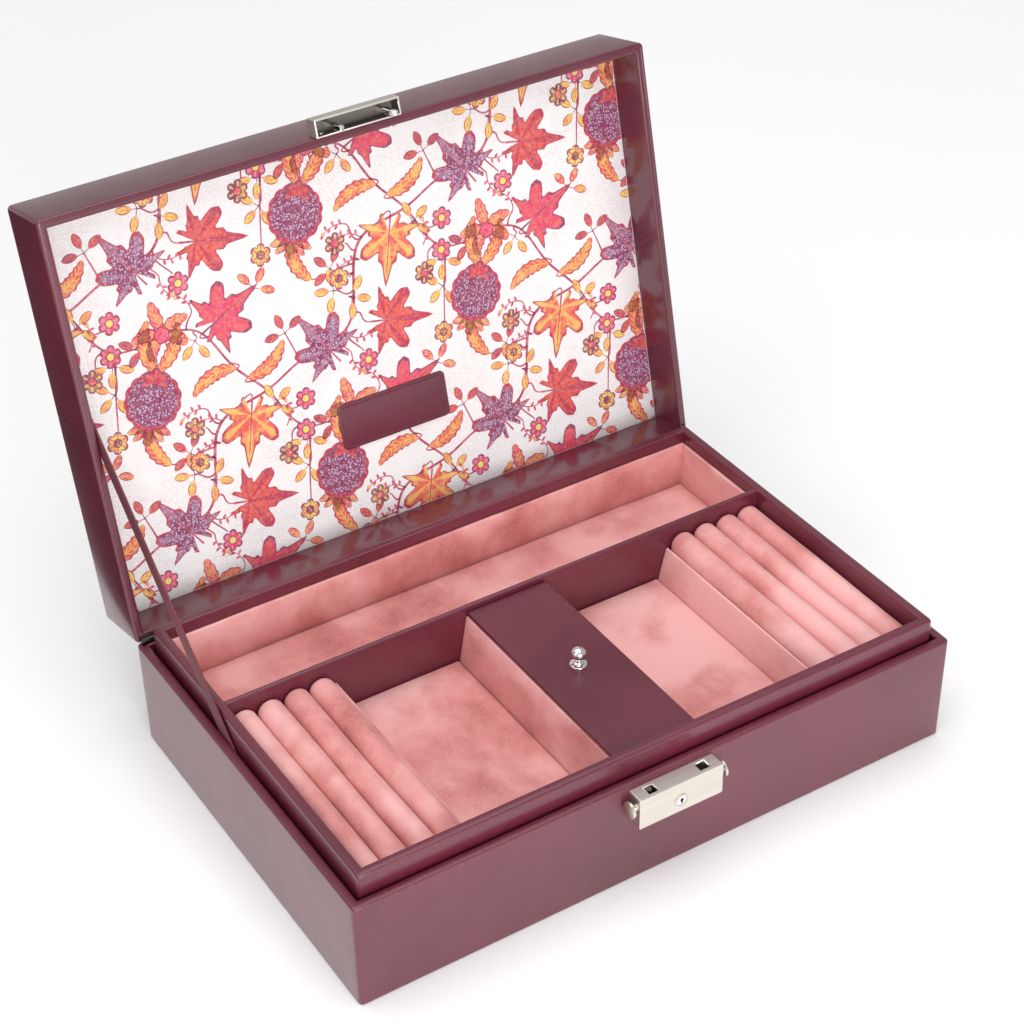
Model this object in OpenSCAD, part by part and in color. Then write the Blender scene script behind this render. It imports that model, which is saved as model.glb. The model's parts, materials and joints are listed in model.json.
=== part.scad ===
// Leather jewellery case: a hinged lid, a lift-out tray with ring rolls and a push-button lock.
// The origin is the centre of the underside. X is the width, +Y is the back, +Z is up.
// The lid is drawn closed in its own frame and turned open about the hinge pin.

/* [Case] */
// Outside width of the case
case_w = 285; // [262:1:320]
// Outside depth of the case
case_d = 186; // [176:1:210]
// Height of the seam where the lid meets the base
seam_h = 51.9; // [50.5:0.1:56]
// Height of the lid above the seam
lid_h = 33.7; // [32:0.1:40]
// Thickness of one covered wall
wall = 4.05; // [3.8:0.05:4.6]
// Thickness of the covering leather
leather = 0.8; // [0.6:0.05:0.9]
// Radius of the case's upright corners
corner_r = 2; // [1.2:0.1:3]
// Angle from closed at which the strap stops the lid
open_angle = 103.25; // [95:0.25:110]

/* [Tray] */
// Clearance between the tray and the base, all round
tray_gap = 1.55; // [1.45:0.05:1.8]
// How far the tray stands above the seam
tray_rise = 9.3; // [7:0.1:11]
// Thickness of the tray's covered walls
tray_wall = 4.2; // [3.8:0.05:4.6]
// Height of the tray's underside
tray_z = 29; // [26:0.5:30]
// Position of the divider's front face
divider_y = 27; // [15:1:32]
// Half width of the middle cover
cover_half = 19.8; // [17:0.1:20.2]
// Height of the middle cover's top
cover_top = 58.6; // [58:0.1:59]

/* [Ring rolls] */
// Distance between neighbouring rolls
roll_pitch = 11.95; // [11.9:0.05:12]
// Radius of a roll
roll_r = 5.85; // [5.4:0.05:5.88]
// Height of a roll's centre
roll_z = 50; // [48:0.1:51]

/* [Lock] */
// Width of the lock body
lock_w = 40; // [39.5:0.1:42]
// How far the lock body stands out from the front
lock_d = 7.9; // [7.8:0.05:8.4]
// Height of the lock body
lock_h = 15; // [14.6:0.1:16]
// Height of the lock body's top
lock_top = 49.4; // [49.2:0.05:49.6]
// Distance from the middle to each hook
hook_x = 12.3; // [12.1:0.05:12.5]
// Travel of each push button
button_travel = 1.5; // [1.2:0.1:1.5]

/* [Hinge] */
// Distance of the hinge pin in front of the case's back
pin_inset = 0.6; // [0.5:0.05:0.8]
// Outside radius of the hinge's knuckles
knuckle_r = 1.5; // [1.4:0.05:1.5]
// Radius of the hinge pin
pin_r = 0.75; // [0.65:0.05:0.8]

/* [Hidden] */
$fn = 48;

bordeaux = [0.42, 0.2, 0.25];
velvet = [0.9, 0.58, 0.56];
beech = [0.78, 0.62, 0.44];
nickel = [0.8, 0.77, 0.72];
chrome = [0.86, 0.86, 0.85];
paper = [0.95, 0.92, 0.9];

half_w = case_w / 2;
half_d = case_d / 2;
board = wall - 2 * leather;
in_w = half_w - wall;
in_d = half_d - wall;
rim_z = seam_h - 0.2;
board_top = rim_z - leather;
leaf_low = 1.75;
leaf_t = 0.6;
barrel_gap = 1.75;
floor_top = 4.8;
pad_top = 6.3;
turn_in_z = 39.5;

pin_y = half_d - pin_inset;
lid_back = pin_inset;
lid_front = pin_inset - case_d;
board_in = pin_inset - leather - board;
lid_lining_z = 20.5;
lid_top_z = 25.5;

tray_w = in_w - tray_gap;
tray_d = in_d - tray_gap;
well_w = tray_w - tray_wall;
well_d = tray_d - tray_wall;
tray_top = seam_h + tray_rise;
tray_floor = tray_z + 3;
divider_t = 2.4;
divider_top = tray_top - 0.4;
rear_y = divider_y + divider_t + 0.1;
rear_t = 1.7;
pad_z = 35.3;
partition_foot = 78.9;
partition_top = 83.2;
first_roll = 90.75;
cover_z = cover_top - 2.4;
knob_y = -28;

lock_y = -half_d - lock_d;
lock_mid = -half_d - lock_d / 2 - 0.05;
lock_z = lock_top - lock_h;
lock_wall = 1.5;
button_z = 43;
button_r = 3.7;
shaft_r = 1.6;
key_z = 40;
key_r = 2.4;
latch_z = button_z - 0.4;
screw_xs = [-125, -75, -25, 25, 75, 125];

strap_t = 0.9;
strap_w = 7.6;
strap_x = -in_w + 0.1;
strap_low = [3.6, 38.4];
// A point inside the lid, given by its distance from the pin and its depth from the seam
function lid_point(far, deep) = [pin_y - far * cos(open_angle) + deep * sin(open_angle),
    seam_h + far * sin(open_angle) + deep * cos(open_angle)];
strap_high = lid_point(105.4, 11.6);

// A rectangle with round corners, centred on the origin
module round_rect(w, d, r) {
    square([w - 2 * r, d], center = true);
    square([w, d - 2 * r], center = true);
    for (x = [-1, 1], y = [-1, 1])
        translate([x * (w / 2 - r), y * (d / 2 - r)]) circle(r);
}

// A box given by its lowest and highest corners
module span(low, high) {
    translate(low) cube(high - low);
}

// Carries a piece drawn in the closed lid's frame to where the open lid holds it
module in_lid() {
    translate([0, pin_y, seam_h]) rotate([-open_angle, 0, 0]) children();
}

// A board that stands along the front, back, left or right, with mitre-free butted ends
module end_board(y0, z0, z1) {
    span([-half_w + leather, y0, z0], [half_w - leather, y0 + board, z1]);
}

module side_board(side, y0, y1, z0, z1) {
    x0 = side * (half_w - leather - board / 2);
    span([x0 - board / 2, y0, z0], [x0 + board / 2, y1, z1]);
}

// Holes through a wall that runs along X, one for each screw or rivet
module wall_holes(xs, y, z, r, long) {
    for (x = xs) translate([x, y, z]) rotate([90, 0, 0]) cylinder(r = r, h = long, center = true);
}

// A countersunk screw along +Y with its head's face at the origin
module screw(long) {
    rotate([-90, 0, 0]) {
        cylinder(r1 = 1.6, r2 = 1, h = 0.6);
        cylinder(r = 1, h = long);
    }
}

// ---- base ----

module base_front_board() {
    color(beech) difference() {
        end_board(-half_d + leather, leather, board_top);
        wall_holes([-16, 16], -half_d, key_z, 1.25, 20);
    }
}

module base_back_board() {
    color(beech) difference() {
        end_board(half_d - leather - board, leather, seam_h - leaf_low);
        translate([0, pin_y, seam_h]) leaf_rebate();
    }
}

module base_left_board() {
    y0 = half_d - leather - board;
    color(beech) side_board(-1, -y0, y0, leather, board_top);
}

module base_right_board() {
    y0 = half_d - leather - board;
    color(beech) side_board(1, -y0, y0, leather, board_top);
}

module base_bottom_board() {
    x = half_w - leather - board;
    y = half_d - leather - board;
    color(beech) span([-x, -y, leather], [x, y, floor_top]);
}

// The covering: outside, over the rim with a turned-in edge inside, and turned under below
module base_leather() {
    x = half_w - leather;
    y = half_d - leather;
    color(bordeaux) difference() {
        linear_extrude(rim_z) round_rect(case_w, case_d, corner_r);
        difference() {
            span([-x, -y, leather], [x, y, board_top]);
            span([-in_w - leather, -in_d - leather, turn_in_z],
                [in_w + leather, in_d + leather, board_top]);
            span([-x, in_d, seam_h - leaf_low + leaf_t], [x, y, board_top]);
        }
        span([-in_w, -in_d, leather], [in_w, in_d, rim_z + 1]);
        translate([0, pin_y, seam_h]) hinge_room();
        span([-half_w + 10, -half_d + 10, -1], [half_w - 10, half_d - 10, leather + 1]);
        wall_holes([-16, 16], -half_d, key_z, 1.25, 20);
    }
}

module underside_cover() {
    color(velvet) linear_extrude(leather) round_rect(case_w - 20.4, case_d - 20.4, 2);
}

module base_floor_pad() {
    x = in_w - 5;
    y = in_d - 5;
    color(velvet) span([-x, -y, floor_top], [x, y, pad_top]);
}

// A covered ledge all round, which the tray's walls stand on
module tray_support() {
    color(velvet) difference() {
        span([-in_w, -in_d, floor_top], [in_w, in_d, tray_z]);
        span([-in_w + 4.8, -in_d + 4.8, 0], [in_w - 4.8, in_d - 4.8, tray_z + 1]);
    }
}

// ---- hinge ----

knuckles = 19;
knuckle_l = (case_w - 4) / knuckles;

// Every other knuckle of the hinge, from the first or the second
module knuckle_row(first) {
    for (i = [first : 2 : knuckles - 1])
        translate([-half_w + 2 + i * knuckle_l + 0.1, 0, 0]) rotate([0, 90, 0])
            cylinder(r = knuckle_r, h = knuckle_l - 0.2);
}

// A strip beside each knuckle joins it to a plate that lies on the board and turns down inside
module hinge_leaf(first) {
    difference() {
        union() {
            knuckle_row(first);
            for (i = [first : 2 : knuckles - 1])
                translate([-half_w + 2.1 + i * knuckle_l, -2, -leaf_low])
                    cube([knuckle_l - 0.2, 2, leaf_t]);
            span([-half_w + 2.1, board_in, -leaf_low],
                [half_w - 2.1, -barrel_gap, leaf_t - leaf_low]);
            span([-in_w + 2, board_in, -11.5], [in_w - 2, board_in + leaf_t, leaf_t - leaf_low]);
        }
        translate([-half_w, 0, 0]) rotate([0, 90, 0]) cylinder(r = pin_r + 0.05, h = case_w);
        for (x = screw_xs) translate([x, board_in - 0.01, -7])
            rotate([-90, 0, 0]) cylinder(r1 = 1.65, r2 = 1.04, h = leaf_t + 0.02);
    }
}

// The room that a back board leaves for its leaf and screws
module leaf_rebate() {
    span([-in_w + 1.9, board_in - 1, -11.6], [in_w - 1.9, board_in + leaf_t, 0]);
    for (x = screw_xs) translate([x, board_in, -7]) rotate([-90, 0, 0]) cylinder(r = 1.05, h = 2.4);
}

// The room that the covering leaves for the knuckles, and the step down to the covered leaf
module hinge_room() {
    span([-half_w - 1, pin_inset - wall, -0.35], [half_w + 1, pin_inset + 1, 2]);
    span([-half_w - 1, -barrel_gap, -leaf_low], [half_w + 1, pin_inset + 1, 2]);
}

module hinge_leaf_base() {
    color(nickel) translate([0, pin_y, seam_h]) hinge_leaf(0);
}

module hinge_leaf_lid() {
    color(nickel) in_lid() mirror([0, 0, 1]) hinge_leaf(1);
}

module hinge_pin() {
    color(nickel) translate([-half_w + 2.1, pin_y, seam_h]) rotate([0, 90, 0])
        cylinder(r = pin_r, h = case_w - 4.2);
}

module hinge_screws_base() {
    color(nickel) for (x = screw_xs)
        translate([x, pin_y + board_in, seam_h - 7]) screw(2.3);
}

module hinge_screws_lid() {
    color(nickel) in_lid() for (x = screw_xs)
        translate([x, board_in, 7]) screw(2.3);
}

// ---- strap ----

// A flat leather strap from the base's left wall up to the lid's left wall
module strap() {
    run = strap_high - strap_low;
    color(bordeaux) translate([strap_x, strap_low[0], strap_low[1]])
        rotate([atan2(run[1], run[0]), 0, 0])
            translate([0, -3, -strap_w / 2]) cube([strap_t, norm(run) + 6, strap_w]);
}

// ---- lock ----

module lock_body() {
    color(nickel) difference() {
        span([-lock_w / 2, lock_y, lock_z], [lock_w / 2, -half_d, lock_top]);
        difference() {
            span([-lock_w / 2 + lock_wall, lock_y + lock_wall, lock_z + lock_wall],
                [lock_w / 2 - lock_wall, -half_d + 1, lock_top - lock_wall]);
            span([-2.2, lock_y, 44.4], [2.2, -half_d - 1.6, lock_top]);
        }
        for (x = [-hook_x, hook_x])
            span([x - 2.1, lock_mid - 2.1, lock_top - 3], [x + 2.1, lock_mid + 2.1, lock_top + 1]);
        translate([-lock_w / 2 - 1, lock_mid, button_z]) rotate([0, 90, 0])
            cylinder(r = shaft_r + 0.05, h = lock_w + 2);
        translate([0, lock_y - 1, key_z]) rotate([-90, 0, 0])
            cylinder(r = key_r + 0.05, h = lock_wall + 1.1);
    }
}

module lock_back_plate() {
    color(nickel) difference() {
        span([-lock_w / 2 + lock_wall + 0.1, -half_d - 1, lock_z + lock_wall + 0.1],
            [lock_w / 2 - lock_wall - 0.1, -half_d, lock_top - lock_wall - 0.1]);
        wall_holes([-16, 16], -half_d, key_z, 1.25, 6);
    }
}

module lock_ring() {
    color(nickel) translate([0, lock_y, key_z]) rotate([90, 0, 0]) difference() {
        cylinder(r = 3.15, h = 0.35);
        translate([0, 0, -0.1]) cylinder(r = key_r + 0.1, h = 1);
    }
}

// The key plug with its keyhole, and the cam behind it that stops both catches when turned
module lock_cylinder() {
    color(chrome) translate([0, lock_y, key_z]) difference() {
        union() {
            translate([0, -0.2, 0]) rotate([-90, 0, 0]) cylinder(r = key_r, h = 5.5);
            translate([-1, 5.2, -3.8]) cube([2, 1.1, 7.6]);
        }
        translate([0, -1, 0.45]) rotate([-90, 0, 0]) cylinder(r = 0.75, h = 5);
        translate([-0.35, -1, -1.4]) cube([0.7, 5, 1.8]);
    }
}

module lock_rivets() {
    color(nickel) for (x = [-16, 16]) translate([x, 0, key_z]) rotate([90, 0, 0]) {
        translate([0, 0, in_d - 0.5]) cylinder(r = 2.2, h = 0.5);
        translate([0, 0, in_d - 0.4]) cylinder(r = 1.2, h = wall + 1.8);
        translate([0, 0, half_d + 1]) cylinder(r = 1.9, h = 0.5);
    }
}

// A disc on a shaft, with the catch plate that reaches round the hook and down to the cam
module push_button() {
    translate([lock_w / 2 - 4, lock_mid, button_z]) rotate([0, 90, 0])
        cylinder(r = shaft_r, h = 6.2);
    translate([lock_w / 2 + 1.6, lock_mid, button_z]) rotate([0, 90, 0]) {
        cylinder(r = button_r, h = 1.1);
        translate([0, 0, 1]) cylinder(r1 = button_r, r2 = button_r - 0.4, h = 0.4);
    }
    difference() {
        span([8, lock_mid - 2, latch_z], [16.6, lock_mid + 2, latch_z + 1.2]);
        span([hook_x - 0.55, lock_mid - 1.35, latch_z - 1], [15.4, lock_mid + 1.35, latch_z + 3]);
    }
    span([8, lock_mid - 1.6, latch_z + 1], [9, lock_mid + 1.6, 47.2]);
    span([4, lock_mid + 1.6, latch_z], [8.4, lock_mid + 2, latch_z + 1.2]);
    span([4, lock_mid + 1.3, key_z - 0.8], [5.2, lock_mid + 2.3, latch_z + 1.2]);
}

module button_right() {
    color(chrome) push_button();
}

module button_left() {
    color(chrome) mirror([1, 0, 0]) push_button();
}

// Points of a wire ring round the helix, and the quads that join each ring to the next
spring_r = 1.15;
wire_r = 0.2;
spring_turns = 6;
rings = spring_turns * 14;
spring_low = 2.45;
spring_high = 7.75;

function ring_point(i, k) =
    let (t = i / rings, a = 360 * spring_turns * t, c = spring_r + wire_r * cos(60 * k))
    [spring_low + (spring_high - spring_low) * t + wire_r * sin(60 * k), c * cos(a), c * sin(a)];

module spring() {
    polyhedron(
        points = [for (i = [0 : rings], k = [0 : 5]) ring_point(i, k)],
        faces = concat([[for (k = [5 : -1 : 0]) k]],
            [for (i = [0 : rings - 1], k = [0 : 5])
                [i * 6 + k, i * 6 + (k + 1) % 6, (i + 1) * 6 + (k + 1) % 6, (i + 1) * 6 + k]],
            [[for (k = [0 : 5]) rings * 6 + k]]));
}

module button_spring_right() {
    color(nickel) translate([0, lock_mid, 45.75]) spring();
}

module button_spring_left() {
    color(nickel) translate([0, lock_mid, 45.75]) rotate([0, 0, 180]) spring();
}

// ---- lid, drawn in the closed lid's frame: Y from the pin, Z from the seam ----

module lid_front_board() {
    color(beech) in_lid() difference() {
        end_board(lid_front + leather, 0.2 + leather, lid_h - leather);
        wall_holes([-16, 16], lid_front, 3, 1.25, 20);
    }
}

module lid_back_board() {
    color(beech) in_lid() difference() {
        end_board(lid_back - leather - board, leaf_low, lid_h - leather);
        mirror([0, 0, 1]) leaf_rebate();
    }
}

module lid_left_board() {
    color(beech) in_lid()
        side_board(-1, lid_front + leather + board, lid_back - leather - board, 0.2 + leather,
            lid_h - leather);
}

module lid_right_board() {
    color(beech) in_lid()
        side_board(1, lid_front + leather + board, lid_back - leather - board, 0.2 + leather,
            lid_h - leather);
}

module lid_top_board() {
    x = half_w - leather - board;
    color(beech) in_lid() span([-x, lid_front + leather + board, lid_top_z],
        [x, lid_back - leather - board, lid_top_z + 4]);
}

// The covering: outside, over the rim, down inside to the lining, and over the top's raised edge
module lid_leather() {
    x = half_w - leather;
    y0 = lid_front + leather;
    y1 = lid_back - leather;
    color(bordeaux) in_lid() difference() {
        translate([0, (lid_front + lid_back) / 2, 0.2]) linear_extrude(lid_h - 0.2)
            round_rect(case_w, case_d, corner_r);
        difference() {
            span([-x, y0, 0.2 + leather], [x, y1, lid_h - leather]);
            span([-in_w - leather, lid_front + wall - leather, 0],
                [in_w + leather, lid_back - wall + leather, lid_top_z]);
            span([-x, lid_back - wall, 0], [x, y1, leaf_low - leaf_t]);
        }
        span([-in_w, lid_front + wall, 0], [in_w, lid_back - wall, lid_top_z]);
        mirror([0, 0, 1]) hinge_room();
        span([-in_w, lid_front + wall, lid_top_z - 0.1], [in_w, lid_back - wall, lid_h + 1]);
        wall_holes([-16, 16], lid_front, 3, 1.25, 20);
    }
}

// The padded outside panel that fills the raised edge
module lid_top_panel() {
    mid = (lid_front + lid_back) / 2;
    color(bordeaux) in_lid() translate([0, mid, lid_top_z + 4])
        linear_extrude(lid_h - lid_top_z - 4.2)
            round_rect(2 * in_w - 0.4, 2 * in_d - 0.4, 1.5);
}

module lid_lining_panel() {
    color(paper) in_lid() span([-in_w, lid_front + wall, lid_lining_z],
        [in_w, lid_back - wall, lid_top_z]);
}

module label_plaque() {
    color(bordeaux) in_lid() translate([3.5, pin_inset - 52.8, lid_lining_z - 0.8])
        linear_extrude(0.8) round_rect(54.4, 21.4, 2.6);
}

module lock_cap() {
    color(nickel) in_lid() difference() {
        translate([-lock_w / 2, 0, 0]) rotate([90, 0, 90]) linear_extrude(lock_w)
            polygon([[lid_front, -1.5], [lid_front - lock_d, -1.5], [lid_front - lock_d, 4.8],
                [lid_front - lock_d + 1.2, 6], [lid_front, 6]]);
        span([-lock_w / 2 + 1, lid_front - lock_d + 1, -2], [lock_w / 2 - 1, lid_front - 0.8, 4.8]);
        wall_holes([-16, 16], lid_front, 3, 1.25, 3);
    }
}

// Two hooks with a notch on the inner side, which the catches enter when the case is shut
module cap_hooks() {
    hook_y = lock_mid - pin_y;
    color(chrome) in_lid() for (side = [-1, 1]) scale([side, 1, 1])
        translate([hook_x, hook_y + 1.1, 0]) rotate([90, 0, 0]) linear_extrude(2.2)
            polygon([[-1.2, 4.8], [-1.2, -7.9], [-0.35, -7.9], [-0.35, -9.5], [-1.2, -9.5],
                [-1.2, -10.2], [-0.2, -11.4], [1.2, -11.4], [1.2, 4.8]]);
}

module cap_rivets() {
    color(nickel) in_lid() for (x = [-16, 16]) translate([x, lid_front, 3]) rotate([90, 0, 0]) {
        translate([0, 0, -wall - 0.5]) cylinder(r = 2.2, h = 0.5);
        translate([0, 0, -wall - 0.4]) cylinder(r = 1.2, h = wall + 1.4);
        translate([0, 0, 0.8]) cylinder(r = 1.7, h = 0.5);
    }
}

// ---- tray ----

module tray_frame() {
    t = 0.7;
    color(beech) difference() {
        span([-tray_w + t, -tray_d + t, tray_z], [tray_w - t, tray_d - t, tray_top - t]);
        span([-well_w - t, -well_d - t, 0], [well_w + t, well_d + t, tray_top]);
    }
}

module tray_leather() {
    t = 0.7;
    color(bordeaux) difference() {
        translate([0, 0, tray_z]) linear_extrude(tray_top - tray_z)
            round_rect(2 * tray_w, 2 * tray_d, 1.4);
        span([-well_w, -well_d, 0], [well_w, well_d, tray_top + 1]);
        difference() {
            span([-tray_w + t, -tray_d + t, 0], [tray_w - t, tray_d - t, tray_top - t]);
            span([-well_w - t, -well_d - t, 0], [well_w + t, well_d + t, tray_top]);
        }
    }
}

module tray_floor_board() {
    color(beech) span([-well_w, -well_d, tray_z], [well_w, well_d, tray_floor]);
}

module divider() {
    color(bordeaux) span([-well_w, divider_y, tray_floor],
        [well_w, divider_y + divider_t, divider_top]);
}

// A thin covered wall all round the rear compartment, lower than the tray's rim
module rear_compartment_lining() {
    color(velvet) difference() {
        span([-well_w, rear_y, tray_floor], [well_w, well_d, 55.6]);
        span([-well_w + rear_t, rear_y + rear_t, 0], [well_w - rear_t, well_d - rear_t, 60]);
    }
}

module rear_compartment_pad() {
    color(velvet) span([-well_w + rear_t + 0.1, rear_y + rear_t + 0.1, tray_floor],
        [well_w - rear_t - 0.1, well_d - rear_t - 0.1, 34.7]);
}

front_y0 = -well_d + 0.1;
front_y1 = divider_y - 0.1;

// A thin covered board that leans, drawn from its foot to its top and run along Y
module leaning_board(foot, top, top_z, t) {
    translate([0, front_y1, 0]) rotate([90, 0, 0]) linear_extrude(front_y1 - front_y0)
        polygon([[foot, tray_floor], [top, top_z], [top + t, top_z], [foot + t, tray_floor]]);
}

module left_partition() {
    color(velvet) mirror([1, 0, 0]) leaning_board(partition_foot, partition_top, 49.3, 1.3);
}

module right_partition() {
    color(velvet) leaning_board(partition_foot, partition_top, 49.3, 1.3);
}

module centre_wall_left() {
    color(velvet) mirror([1, 0, 0]) leaning_board(22.9, cover_half - 1.1, cover_z - 0.1, 1.5);
}

module centre_wall_right() {
    color(velvet) leaning_board(22.9, cover_half - 1.1, cover_z - 0.1, 1.5);
}

module compartment_pad(x0, x1) {
    color(velvet) span([x0, front_y0, tray_floor], [x1, front_y1, pad_z]);
}

module left_compartment_pad() {
    compartment_pad(-partition_foot, -24.5);
}

module right_compartment_pad() {
    compartment_pad(24.5, partition_foot);
}

module centre_compartment_pad() {
    compartment_pad(-22.2, 22.2);
}

// A padded roll with a round top that stands on the tray's floor
module ring_roll(x) {
    color(velvet) translate([x, front_y1, 0]) rotate([90, 0, 0])
        linear_extrude(front_y1 - front_y0) {
            translate([0, roll_z]) circle(roll_r);
            translate([-roll_r + 0.1, tray_floor]) square([2 * roll_r - 0.2, roll_z - tray_floor]);
        }
}

// ---- middle cover ----

module cover_panel() {
    color(bordeaux) difference() {
        span([-cover_half, -well_d + 0.3, cover_z], [cover_half, divider_y - 0.3, cover_top]);
        translate([0, knob_y, 0]) cylinder(r = 1.3, h = 100);
    }
}

module cover_knob() {
    color(chrome) translate([0, knob_y, cover_top]) rotate_extrude()
        polygon(concat([[0, -4], [1.25, -4], [1.25, 0], [3.6, 0], [3.7, 0.35], [3.45, 0.8],
            [2.4, 1.15], [1.6, 1.9], [1.5, 2.6]],
            [for (a = [-62 : 8 : 90]) [3.3 * cos(a), 5.6 + 3.1 * sin(a)]]));
}

module knob_nut() {
    color(nickel) translate([0, knob_y, cover_z - 1.5]) difference() {
        cylinder(r = 3, h = 1.5);
        translate([0, 0, -1]) cylinder(r = 1.3, h = 4);
    }
}

base_front_board();
base_back_board();
base_left_board();
base_right_board();
base_bottom_board();
base_leather();
underside_cover();
base_floor_pad();
tray_support();
hinge_leaf_base();
hinge_leaf_lid();
hinge_pin();
hinge_screws_base();
hinge_screws_lid();
strap();
lock_body();
lock_back_plate();
lock_ring();
lock_cylinder();
lock_rivets();
button_left();
button_right();
button_spring_left();
button_spring_right();
lid_front_board();
lid_back_board();
lid_left_board();
lid_right_board();
lid_top_board();
lid_leather();
lid_top_panel();
lid_lining_panel();
label_plaque();
lock_cap();
cap_hooks();
cap_rivets();
tray_frame();
tray_floor_board();
tray_leather();
divider();
rear_compartment_lining();
rear_compartment_pad();
left_compartment_pad();
right_compartment_pad();
centre_compartment_pad();
left_partition();
right_partition();
centre_wall_left();
centre_wall_right();
ring_roll(-first_roll);  // ring_roll_left_1
ring_roll(-first_roll - roll_pitch);  // ring_roll_left_2
ring_roll(-first_roll - 2 * roll_pitch);  // ring_roll_left_3
ring_roll(-first_roll - 3 * roll_pitch);  // ring_roll_left_4
ring_roll(first_roll);  // ring_roll_right_1
ring_roll(first_roll + roll_pitch);  // ring_roll_right_2
ring_roll(first_roll + 2 * roll_pitch);  // ring_roll_right_3
ring_roll(first_roll + 3 * roll_pitch);  // ring_roll_right_4
cover_panel();
cover_knob();
knob_nut();
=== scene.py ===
import json
import math

import bmesh
import bpy
import numpy as np
from mathutils import Matrix, Vector


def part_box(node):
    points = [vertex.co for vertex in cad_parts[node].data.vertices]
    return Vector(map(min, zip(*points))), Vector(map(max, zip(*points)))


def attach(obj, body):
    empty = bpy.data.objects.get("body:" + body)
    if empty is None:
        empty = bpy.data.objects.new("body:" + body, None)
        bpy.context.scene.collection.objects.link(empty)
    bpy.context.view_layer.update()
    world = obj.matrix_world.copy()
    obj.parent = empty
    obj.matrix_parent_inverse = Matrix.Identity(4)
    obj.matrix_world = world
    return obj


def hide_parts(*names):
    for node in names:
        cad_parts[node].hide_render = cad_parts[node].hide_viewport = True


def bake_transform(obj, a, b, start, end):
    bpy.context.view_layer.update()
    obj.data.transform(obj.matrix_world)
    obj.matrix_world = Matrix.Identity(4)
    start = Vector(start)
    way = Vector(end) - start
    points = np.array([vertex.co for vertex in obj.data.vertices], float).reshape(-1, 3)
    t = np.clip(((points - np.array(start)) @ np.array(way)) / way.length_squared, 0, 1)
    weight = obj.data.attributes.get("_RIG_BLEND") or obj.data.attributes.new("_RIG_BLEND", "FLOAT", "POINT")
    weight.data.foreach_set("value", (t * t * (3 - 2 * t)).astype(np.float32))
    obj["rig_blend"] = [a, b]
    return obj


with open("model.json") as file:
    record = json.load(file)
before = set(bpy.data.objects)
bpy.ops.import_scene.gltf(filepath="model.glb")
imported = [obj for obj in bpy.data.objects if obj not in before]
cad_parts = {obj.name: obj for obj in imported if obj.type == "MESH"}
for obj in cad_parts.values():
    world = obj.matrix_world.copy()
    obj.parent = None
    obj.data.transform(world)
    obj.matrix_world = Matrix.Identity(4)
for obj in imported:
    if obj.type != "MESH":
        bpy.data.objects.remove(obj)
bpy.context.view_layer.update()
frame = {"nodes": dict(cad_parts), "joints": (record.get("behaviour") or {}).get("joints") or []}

cadNodes = frame["nodes"]
mm = 0.001
print("frame loaded with", len(cadNodes), "nodes")


# Camera, floor and light.
view = {"place": (-0.4031, -0.6287, 0.6596), "yaw": 31.18, "pitch": 37.68, "roll": -1.484,
        "lens": 80.9, "shiftX": 0.0183, "shiftY": 0.0698}
studio = {"skyStrength": 0.46, "floorSize": 8.0, "card": ((-0.7, 0.1), (-0.15, 0.9), 0.045), "aim": (0.0, 0.0, 0.06),
          "lights": {"overhead": ((-0.3, 0.1, 2.7), (3.2, 3.2), 54.0),
                     "front": ((-0.25, -1.25, 0.42), (0.9, 0.5), 10.5),
                     "side": ((-1.3, -0.3, 0.8), (0.9, 0.9), 2.0)}}


def addObject(name, data):
    added = bpy.data.objects.new(name, data)
    bpy.context.scene.collection.objects.link(added)
    return added


# The camera looks along the heading turned from +Y to +X by yaw and down by pitch, then rolls about that line.
def aimCamera():
    yaw, pitch, roll = (math.radians(view[k]) for k in ("yaw", "pitch", "roll"))
    ahead = np.array([math.sin(yaw) * math.cos(pitch), math.cos(yaw) * math.cos(pitch), -math.sin(pitch)])
    level = np.array([math.cos(yaw), -math.sin(yaw), 0.0])
    above = np.cross(level, ahead)
    right = math.cos(roll) * level + math.sin(roll) * above
    up = -math.sin(roll) * level + math.cos(roll) * above
    data = bpy.data.cameras.new("camera")
    data.lens, data.sensor_width = view["lens"], 36.0
    data.shift_x, data.shift_y = view["shiftX"], view["shiftY"]
    data.clip_start = 0.01
    camera = addObject("camera", data)
    axes = np.eye(4)
    axes[:3, 0], axes[:3, 1], axes[:3, 2], axes[:3, 3] = right, up, -ahead, view["place"]
    camera.matrix_world = Matrix(axes.tolist())
    bpy.context.scene.camera = camera


# An area light of the given size stands at place and faces the case.
def softLight(name, place, size, power):
    data = bpy.data.lights.new(name, "AREA")
    data.shape, data.size, data.size_y, data.energy = "RECTANGLE", size[0], size[1], power
    facing = (Vector(studio["aim"]) - Vector(place)).to_track_quat("-Z", "Y")
    addObject(name, data).matrix_world = Matrix.Translation(place) @ facing.to_matrix().to_4x4()


aimCamera()
world = bpy.data.worlds.new("studio")
bpy.context.scene.world = world
world.use_nodes = True
world.node_tree.nodes["Background"].inputs["Color"].default_value = (1.0, 1.0, 1.0, 1.0)
world.node_tree.nodes["Background"].inputs["Strength"].default_value = studio["skyStrength"]
for name, (place, size, power) in studio["lights"].items():
    softLight(name, place, size, power)
bpy.context.scene.view_settings.view_transform = "Standard"
print("camera and light ready")


# Node helpers.
# Adds one node: settings go on the node, values and links go on its inputs.
def addNode(tree, kind, inputs=None, **settings):
    made = tree.nodes.new(kind)
    for key, value in settings.items():
        setattr(made, key, value)
    for key, value in (inputs or {}).items():
        if isinstance(value, bpy.types.NodeSocket):
            tree.links.new(value, made.inputs[key])
        else:
            made.inputs[key].default_value = value
    return made


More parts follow.
